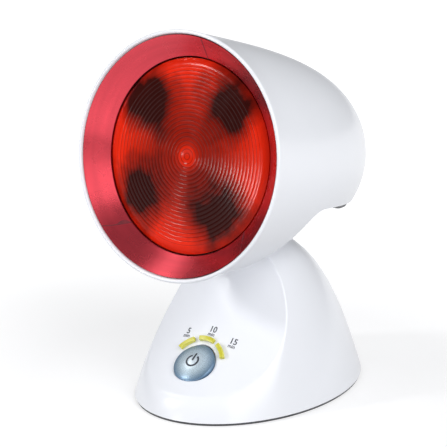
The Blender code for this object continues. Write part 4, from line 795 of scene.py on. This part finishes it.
def cover_section(angle, inset, scoop_rows, dome_rows):
    """Points on the cover from the button's hole to its bottom edge, in one direction."""
    aim_x, aim_y = math.cos(angle), math.sin(angle) * math.cos(BUTTON_SLOPE)
    middle = -BUTTON_FORWARD + inset * math.sin(BUTTON_SLOPE)
    widest = (1 - BASE_CLEAR_OF_FLOOR / (BASE_HEIGHT - inset)) ** (1 / DOME_POWER)
    half_width = (BASE_HALF_WIDTH - inset) * widest
    half_depth = (BASE_HALF_DEPTH - inset) * widest
    first = (aim_x / half_width) ** 2 + (aim_y / half_depth) ** 2
    second = middle * aim_y / half_depth ** 2
    third = (middle / half_depth) ** 2 - 1
    end = (-second + math.sqrt(second ** 2 - first * third)) / first
    start = BUTTON_RADIUS + BUTTON_RING_GAP

    def point(run):
        x, y = run * aim_x, middle + run * aim_y
        return Vector((x, y, cover_height(x, y, inset)))

    runs = [start + (end - start) * step / SAMPLES for step in range(SAMPLES + 1)]
    lengths = [0]
    crease = None
    previous = point(runs[0])
    for step, run in enumerate(runs[1:], 1):
        place = point(run)
        lengths.append(lengths[-1] + (place - previous).length)
        previous = place
        x, y = place.x, place.y
        if crease is None and dome_height(x, y, inset) < scoop_height(x, y, inset):
            crease = step
    targets = []
    for row in range(scoop_rows):
        share = 1 - (1 - row / scoop_rows) ** CREASE_CROWDING
        targets.append(lengths[crease] * share)
    for row in range(dome_rows + 1):
        share = (row / dome_rows) ** CREASE_CROWDING
        targets.append(lengths[crease] + (lengths[-1] - lengths[crease]) * share)
    points, step = [], 0
    for target in targets:
        while step < SAMPLES - 1 and lengths[step + 1] < target:
            step += 1
        part = (target - lengths[step]) / (lengths[step + 1] - lengths[step])
        points.append(point(runs[step] + (runs[step + 1] - runs[step]) * min(1, part)))
    return points


class LAMP_OT_base_cover(bpy.types.Operator):
    """Lay the base's cover: a dome with a scooped front, a hole for the button and a slot"""
    bl_idname = "lamp.base_cover"
    bl_label = "Base cover"

    def execute(self, context):
        sections = []
        for column in range(AROUND):
            angle = 2 * math.pi * column / AROUND
            outside = cover_section(angle, 0, SCOOP_ROWS, DOME_ROWS)
            inside = cover_section(angle, BASE_WALL, INSIDE_ROWS, INSIDE_ROWS)
            sections.append(outside + inside[::-1] + outside[:1])
        rows = len(sections[0]) - 1
        cover = laid("base_cover", AROUND, rows, lambda column, row: sections[column % AROUND][row])
        close_up(cover)
        deselect()
        bpy.ops.mesh.primitive_cylinder_add(
            vertices=ROUND, radius=SLOT_RADIUS, depth=2 * SLOT_HALF_WIDTH,
            location=(0, HINGE_BACK, HINGE_HEIGHT), rotation=(0, math.pi / 2, 0))
        drum_room = bpy.context.object
        deselect()
        height = BASE_HEIGHT + OVERRUN - HINGE_HEIGHT
        bpy.ops.mesh.primitive_cube_add(size=1, scale=(2 * SLOT_HALF_WIDTH, SLOT_RADIUS, height))
        neck_room = bpy.context.object
        neck_room.location = (0, HINGE_BACK + SLOT_RADIUS / 2, HINGE_HEIGHT + height / 2)
        carve(drum_room, neck_room, "UNION")
        carve(cover, drum_room)
        deselect()
        bpy.ops.mesh.primitive_cylinder_add(
            vertices=SMALL_ROUND, radius=GLAND_HOLE_RADIUS, depth=GLAND_HOLE_DEPTH,
            location=(0, BASE_HALF_DEPTH, GLAND_HEIGHT), rotation=(math.pi / 2, 0, 0))
        carve(cover, bpy.context.object)
        settle(cover, "base", "white_shell", context.scene["shell"], "base_shell")
        return {"FINISHED"}


class LAMP_OT_base_gap_shadow(bpy.types.Operator):
    """Lay a dark ring between the base's cover and the floor: painted shadow of the gap under the
    cover's edge
    """
    bl_idname = "lamp.base_joint"
    bl_label = "Base gap shadow"

    def execute(self, context):
        widest = (1 - BASE_CLEAR_OF_FLOOR / BASE_HEIGHT) ** (1 / DOME_POWER)

        def place(column, row):
            angle = 2 * math.pi * column / AROUND
            inset = GAP_SHADOW_INSET + GAP_SHADOW_SLANT * (1 - row / GAP_SHADOW_ROWS)
            height = GAP_SHADOW_LOW + (BASE_CLEAR_OF_FLOOR - GAP_SHADOW_LOW) * row / GAP_SHADOW_ROWS
            x = (BASE_HALF_WIDTH * widest - inset) * math.cos(angle)
            return Vector((x, (BASE_HALF_DEPTH * widest - inset) * math.sin(angle), height))

        joint = laid("base_joint", AROUND, GAP_SHADOW_ROWS, place)
        close_up(joint)
        thicken(joint, GAP_SHADOW_SLANT, -1)
        settle(joint, "base", "dark_plastic", context.scene["joint"])
        return {"FINISHED"}


class LAMP_OT_timer_windows(bpy.types.Operator):
    """Make the three curved windows that show the minutes left"""
    bl_idname = "lamp.timer_windows"
    bl_label = "Timer windows"

    def execute(self, context):
        for name, middle in WINDOW_ANGLES.items():
            def place(column, row, middle=middle):
                angle = middle + WINDOW_HALF_ANGLE * (2 * column / WINDOW_COLUMNS - 1)
                away = WINDOW_RADIUS + WINDOW_WIDTH * (row / WINDOW_ROWS - 1 / 2)
                return on_scoop(away * math.cos(angle), away * math.sin(angle), WINDOW_STAND)

            window = laid("window_" + name, WINDOW_COLUMNS, WINDOW_ROWS, place)
            thicken(window, BASE_WALL, -1, WINDOW_STAND)
            settle(window, "base", "amber_plastic", context.scene["window"], "timer_window_" + name)
        return {"FINISHED"}


class LAMP_OT_timer_marks(bpy.types.Operator):
    """Print the minutes beside their windows"""
    bl_idname = "lamp.timer_marks"
    bl_label = "Minutes"

    def execute(self, context):
        sizes = context.scene.lamp_sizes
        for number, (aside, along) in MARK_PLACES.items():
            for words, share, drop in ((number, 1, 0), ("min", UNIT_SHARE, sizes.number_drop)):
                deselect()
                bpy.ops.object.text_add()
                text = bpy.context.object
                text.data.body = words
                text.data.align_x = "CENTER"
                text.data.align_y = "CENTER"
                text.data.size = sizes.number_height * share * TYPE_SIZE_SHARE
                text.data.offset = PRINT_BOLDNESS * share
                bpy.ops.object.convert(target="MESH")
                mark = bpy.context.object
                mark.name = "mark_" + number + ("_min" if drop else "")
                for vert in mark.data.vertices:
                    vert.co = on_scoop(aside + vert.co.x, along - drop + vert.co.y, PRINT_STAND)
                thicken(mark, PRINT_THICKNESS)
                settle(mark, "base", "dark_plastic", context.scene["marks"])
        return {"FINISHED"}


def button_edge():
    return BUTTON_RADIUS ** 2 / (2 * SCOOP_RADIUS) + BUTTON_EDGE_STAND


def crown_height(away):
    """The button's height above its centre on the scoop."""
    radius = (BUTTON_RADIUS ** 2 + BUTTON_CROWN ** 2) / (2 * BUTTON_CROWN)
    return button_edge() + BUTTON_CROWN - radius + math.sqrt(radius ** 2 - away ** 2)


class LAMP_OT_button(bpy.types.Operator):
    """Turn the button's domed cap, and print the power symbol on it"""
    bl_idname = "lamp.button"
    bl_label = "Button"

    def execute(self, context):
        sizes = context.scene.lamp_sizes
        flat = BUTTON_RADIUS - BUTTON_EASE
        radii = [flat * row / CAP_ROWS for row in range(CAP_ROWS + 1)]
        outline = [(radius, crown_height(radius)) for radius in radii]
        centre = (flat, outline[-1][1] - BUTTON_EASE)
        outline += arc(centre, BUTTON_EASE, math.pi / 2, 0, CAP_EASE_ROWS)[1:]
        inside, ceiling = BUTTON_RADIUS - BUTTON_WALL, button_edge() - BUTTON_WALL
        outline += [(BUTTON_RADIUS, -BUTTON_SKIRT), (inside, -BUTTON_SKIRT)]
        outline += [(inside, ceiling), (0, ceiling)]
        cap = spun("button_dome", outline, ROUND, button_frame())
        settle(cap, "button", "silver_blue", context.scene["button"], "button_cap")

        def on_crown(x, y):
            return button_frame() @ Vector((x, y, crown_height(math.hypot(x, y)) + SYMBOL_STAND))

        low = sizes.symbol_radius - sizes.symbol_stroke / 2

        def ring_place(column, row):
            sweep = 2 * math.pi - 2 * SYMBOL_GAP
            angle = math.pi / 2 + SYMBOL_GAP + sweep * column / RING_COLUMNS
            away = low + sizes.symbol_stroke * row / STROKE_ROWS
            return on_crown(away * math.cos(angle), away * math.sin(angle))

        def bar_place(column, row):
            x = sizes.symbol_stroke * (column / STROKE_ROWS - 1 / 2)
            y = sizes.symbol_radius * (BAR_START_SHARE + BAR_LENGTH_SHARE * row / BAR_ROWS)
            return on_crown(x, y)

        ring = ("ring", RING_COLUMNS, STROKE_ROWS, ring_place)
        for name, columns, rows, place in (ring, ("bar", STROKE_ROWS, BAR_ROWS, bar_place)):
            mark = laid("symbol_" + name, columns, rows, place)
            thicken(mark, SYMBOL_THICKNESS)
            settle(mark, "button", "dark_plastic", context.scene["marks"])
        return {"FINISHED"}


# Head cover

def head_form(name, inset):
    """The head's turned form as a solid, with half of the rim's round lip."""
    lip = HEAD_WALL / 2
    crest = HEAD_RADIUS - lip
    front = -math.pi / 2
    if inset:
        outline = [(0, -OVERRUN), (crest, -OVERRUN)]
        outline += arc((crest, lip), lip, front, front - math.pi / 2, LIP_ROWS)
    else:
        outline = [(0, 0)] + arc((crest, lip), lip, front, front + math.pi / 2, LIP_ROWS)
    length = HEAD_LENGTH - inset
    power = HEAD_SQUARENESS / 2
    first = math.asin((HEAD_WALL / length) ** power)
    for row in range(HEAD_ROWS):
        angle = first + (math.pi / 2 - first) * row / HEAD_ROWS
        depth = length * math.sin(angle) ** (1 / power)
        outline.append((head_radius(depth, inset), depth))
    outline.append((0, length))
    return spun(name, outline, HEAD_AROUND, lamp_frame())


def under_cut(rise):
    """What the cut under the head takes away, but for the room that the lamp needs."""
    centre = (CUT_START, -CUT_DROP - CUT_BEND_RADIUS)
    bend = arc(centre, CUT_BEND_RADIUS + rise, math.pi / 2, math.pi / 2 + CUT_ANGLE, BEND_ROWS)
    last = bend[-1]
    low = (last[0] - CUT_RUN * math.cos(CUT_ANGLE), last[1] - CUT_RUN * math.sin(CUT_ANGLE))
    tail = HEAD_LENGTH + OVERRUN
    outline = bend + [low, (tail, low[1]), (tail, rise - CUT_DROP)]
    half = HEAD_RADIUS + OVERRUN
    cut = extruded("cut", outline, -half, half, head_side_frame())
    front = LAMP_ROOM_FRONT
    grown = LAMP_ROOM + HEAD_WALL - rise
    outline = [(0, front)]
    for row in range(LAMP_ROOM_ROWS + 1):
        depth = front + (REFLECTOR_VERTEX - front) * row / LAMP_ROOM_ROWS
        radius = 2 * math.sqrt(REFLECTOR_FOCUS * (REFLECTOR_VERTEX - depth)) + REFLECTOR_GLASS
        outline.append((max(radius, NECK_GLASS_RADIUS) + grown, depth))
    outline.append((0, REFLECTOR_VERTEX))
    return carve(cut, spun("lamp_room", outline, ROUND, lamp_frame()))


def head_normal(point):
    """The turned form's normal at a point behind the lip, in the lamp's frame."""
    away = math.hypot(point.x, point.y)
    if point.z < 2 * HEAD_WALL or point.z > HEAD_LENGTH - 2 * HEAD_WALL or away < HEAD_WALL:
        return None
    if abs(away - head_radius(point.z, 0)) > HEAD_WALL / 10:
        return None
    step = HEAD_WALL / 50
    fall = (head_radius(point.z - step, 0) - head_radius(point.z + step, 0)) / (2 * step)
    return Vector((point.x / away, point.y / away, fall))


class LAMP_OT_head_cover(bpy.types.Operator):
    """Turn the head's shell, and cut it away underneath"""
    bl_idname = "lamp.head_cover"
    bl_label = "Head cover"

    def execute(self, context):
        cover = carve(head_form("head_cover", 0), under_cut(0))
        hollow = carve(head_form("hollow", HEAD_WALL), under_cut(HEAD_WALL))
        carve(cover, hollow)
        for slot in range(VENT_SLOTS):
            depth = VENT_SLOT_FIRST + slot * VENT_SLOT_PITCH
            half = VENT_SLOT_WIDTH / 2
            low, high = -CUT_DROP - OVERRUN, -CUT_DROP + HEAD_WALL + OVERRUN
            front, behind = depth - half, depth + half
            outline = [(front, low), (behind, low), (behind, high), (front, high)]
            reach = VENT_SLOT_HALF_LENGTH
            carve(cover, extruded("vent_slot", outline, -reach, reach, head_side_frame()))
        settle(cover, "head", "white_shell", context.scene["shell"], "head_shell")
        true_normals(cover, lamp_frame(), head_normal)
        return {"FINISHED"}


class LAMP_OT_liner(bpy.types.Operator):
    """Turn the foil liner, and lay on it dark strips for its seam and its two tabs: painted shadow
    along their edges
    """
    bl_idname = "lamp.liner"
    bl_label = "Liner"

    def execute(self, context):
        collar = LINER_THROAT_RADIUS + LINER_SHEET
        outline = [
            (LINER_MOUTH_RADIUS, LINER_FRONT), (LINER_MOUTH_RADIUS, LINER_FRONT + LINER_SHEET),
            (collar, LINER_THROAT_DEPTH + LINER_SHEET), (collar, LINER_COLLAR_END),
            (LINER_THROAT_RADIUS, LINER_COLLAR_END), (LINER_THROAT_RADIUS, LINER_THROAT_DEPTH),
        ]
        outline += [liner_cone(row / LINER_ROWS) for row in range(1, LINER_ROWS + 1)]
        liner = spun("liner", outline, HEAD_AROUND, lamp_frame())
        settle(liner, "head", "crimson_foil", context.scene["liner"], "reflective_liner")
        for name, (angle, turn, swing, width, wider) in LINER_STRIPS.items():
            def place(column, row, angle=angle, turn=turn, swing=swing, width=width, wider=wider):
                share = row / STRIP_ROWS
                radius, depth = liner_cone(share)
                middle = math.radians(angle + turn * share + swing * tab_swell(share))
                across = (width + wider * tab_swell(share)) * (column / STRIP_COLUMNS - 1 / 2)
                at = middle + across / radius
                return lamp_frame() @ Vector((radius * math.cos(at), radius * math.sin(at), depth))

            strip = laid(name, STRIP_COLUMNS, STRIP_ROWS, place)
            close_up(strip)
            thicken(strip, STRIP_THICKNESS, 0)
            settle(strip, "head", "crimson_foil", context.scene["seam"])
        return {"FINISHED"}


class LAMP_OT_lens(bpy.types.Operator):
    """Turn the lamp's pressed glass face with its rings"""
    bl_idname = "lamp.lens"
    bl_label = "Lens"

    def execute(self, context):
        sizes = context.scene.lamp_sizes
        outer = LENS_RADIUS - LENS_BAND
        pitch = (outer - LENS_CENTRE_RADIUS) / sizes.lens_ribs
        outline = [(0, LENS_FACE_DEPTH), (LENS_CENTRE_RADIUS, LENS_FACE_DEPTH)]
        for rib in range(sizes.lens_ribs):
            for row in range(1, RIB_ROWS + 1):
                share = row / RIB_ROWS
                rise = math.sin(math.pi * share ** RIB_LEAN)
                radius = LENS_CENTRE_RADIUS + (rib + share) * pitch
                outline.append((radius, LENS_FACE_DEPTH - sizes.rib_height * rise))
        skirt = LENS_EDGE_DEPTH + LENS_SKIRT
        back = LENS_FACE_DEPTH + LENS_THICKNESS
        for row in range(1, LENS_EDGE_ROWS + 1):
            share = row / LENS_EDGE_ROWS
            drop = (LENS_EDGE_DEPTH - LENS_FACE_DEPTH) * share ** 2
            outline.append((outer + LENS_BAND * share, LENS_FACE_DEPTH + drop))
        outline += [(LENS_RADIUS, skirt), (LENS_RADIUS - REFLECTOR_GLASS, skirt)]
        outline += [(outer, back), (0, back)]
        lens = spun("lens", outline, HEAD_AROUND, lamp_frame())
        settle(lens, "head", "red_glass", context.scene["lens"], "lamp_lens")
        return {"FINISHED"}


class LAMP_OT_fittings(bpy.types.Operator):
    """Give every remaining solid the finish of its slot"""
    bl_idname = "lamp.fittings"
    bl_label = "Fittings"

    def execute(self, context):
        made = slot_materials()
        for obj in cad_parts.values():
            slot = obj.material_slots[0].material.name.split(".")[0]
            obj.material_slots[0].material = made[slot]
        context.scene["shell"] = made["white_shell"]
        context.scene["liner"] = made["crimson_foil"]
        context.scene["button"] = made["silver_blue"]
        context.scene["lens"] = lens_material()
        context.scene["window"] = window_material()
        context.scene["marks"] = mark_material()
        context.scene["joint"] = made["dark_plastic"]
        context.scene["seam"] = grainy(*LAP_SHADOW_FINISH).material
        return {"FINISHED"}


# Floor, lights and camera

def floor_material():
    """White card that keeps the shadow and shows white to the camera."""
    recipe = Recipe("white card")
    recipe.set(Base_Color=FLOOR_COLOUR, Roughness=FLOOR_ROUGHNESS, Emission_Color=(1, 1, 1, 1))
    seen = recipe.node("ShaderNodeLightPath").outputs
    both = recipe.math("MAXIMUM", seen["Is Camera Ray"], seen["Is Glossy Ray"])
    away = recipe.node("ShaderNodeVectorMath", operation="LENGTH")
    recipe.link(recipe.place, away.inputs[0])
    level = recipe.spread(
        away.outputs["Value"], FLOOR_LEVEL_NEAR, FLOOR_LEVEL_FAR, FLOOR_NEAR, FLOOR_FAR)
    recipe.link(recipe.math("MULTIPLY", both, level), recipe.shader.inputs["Emission Strength"])
    return recipe.material


def studio_lamp(name, place, width, height, power):
    """A soft rectangular lamp that looks at the object."""
    deselect()
    bpy.ops.object.light_add(type="AREA", location=place)
    light = bpy.context.object
    light.name = name
    light.data.shape = "RECTANGLE"
    light.data.size = width
    light.data.size_y = height
    light.data.energy = power
    light.rotation_euler = (Vector(place) - Vector(STUDIO_AIM)).to_track_quat("Z", "Y").to_euler()


class LAMP_OT_stage(bpy.types.Operator):
    """Set up the floor, the lights, the background and the camera"""
    bl_idname = "lamp.stage"
    bl_label = "Stage"

    def execute(self, context):
        scene = context.scene
        deselect()
        bpy.ops.mesh.primitive_circle_add(vertices=ROUND, radius=FLOOR_RADIUS, fill_type="NGON")
        floor = bpy.context.object
        floor.name = "floor"
        floor.data.materials.append(floor_material())

        world = bpy.data.worlds.new("studio")
        scene.world = world
        world.use_nodes = True
        tree = world.node_tree
        background = tree.nodes["Background"]
        background.inputs["Color"].default_value = ROOM_COLOUR
        seen = tree.nodes.new("ShaderNodeLightPath")
        level = tree.nodes.new("ShaderNodeMapRange")
        level.inputs["To Min"].default_value = ROOM_LEVEL
        level.inputs["To Max"].default_value = BACKDROP_LEVEL
        tree.links.new(seen.outputs["Is Camera Ray"], level.inputs["Value"])
        tree.links.new(level.outputs["Result"], background.inputs["Strength"])

        for name, lamp in STUDIO_LAMPS.items():
            studio_lamp(name, *lamp)

        turn, rise = CAMERA_AZIMUTH, CAMERA_ELEVATION
        level_reach = math.cos(rise)
        back = Vector((math.sin(turn) * level_reach, -math.cos(turn) * level_reach, math.sin(rise)))
        deselect()
        bpy.ops.object.camera_add(location=CAMERA_TARGET + CAMERA_DISTANCE * back)
        camera = bpy.context.object
        camera.rotation_euler = back.to_track_quat("Z", "Y").to_euler()
        camera.data.lens = CAMERA_LENS
        camera.data.sensor_width = CAMERA_SENSOR
        camera.data.clip_start = CAMERA_NEAR
        camera.data.clip_end = CAMERA_FAR
        scene.camera = camera
        scene.view_settings.view_transform = "Standard"
        return {"FINISHED"}


class LAMP_PT_panel(bpy.types.Panel):
    """The steps that build the lamp, in their order"""
    bl_idname = "LAMP_PT_panel"
    bl_label = "Infrared lamp"
    bl_space_type = "VIEW_3D"
    bl_region_type = "UI"
    bl_category = "Lamp"

    def draw(self, context):
        for group in (context.scene.lamp_sizes, context.scene.lamp_colours):
            for name in group.bl_rna.properties.keys():
                if name not in ("rna_type", "name"):
                    self.layout.prop(group, name)
        for step in STEPS:
            self.layout.operator(step.bl_idname)


STEPS = (
    LAMP_OT_fittings,
    LAMP_OT_base_cover,
    LAMP_OT_base_gap_shadow,
    LAMP_OT_timer_windows,
    LAMP_OT_timer_marks,
    LAMP_OT_button,
    LAMP_OT_head_cover,
    LAMP_OT_liner,
    LAMP_OT_lens,
    LAMP_OT_stage,
)
CLASSES = (LampSizes, LampColours, *STEPS, LAMP_PT_panel)


def register():
    for made in CLASSES:
        bpy.utils.register_class(made)
    bpy.types.Scene.lamp_sizes = bpy.props.PointerProperty(type=LampSizes)
    bpy.types.Scene.lamp_colours = bpy.props.PointerProperty(type=LampColours)


def unregister():
    del bpy.types.Scene.lamp_colours
    del bpy.types.Scene.lamp_sizes
    for made in reversed(CLASSES):
        bpy.utils.unregister_class(made)


def main():
    register()
    bpy.ops.lamp.fittings()
    bpy.ops.lamp.base_cover()
    bpy.ops.lamp.base_joint()
    bpy.ops.lamp.timer_windows()
    bpy.ops.lamp.timer_marks()
    bpy.ops.lamp.button()
    bpy.ops.lamp.head_cover()
    bpy.ops.lamp.liner()
    bpy.ops.lamp.lens()
    bpy.ops.lamp.stage()


if __name__ == "__main__":
    main()
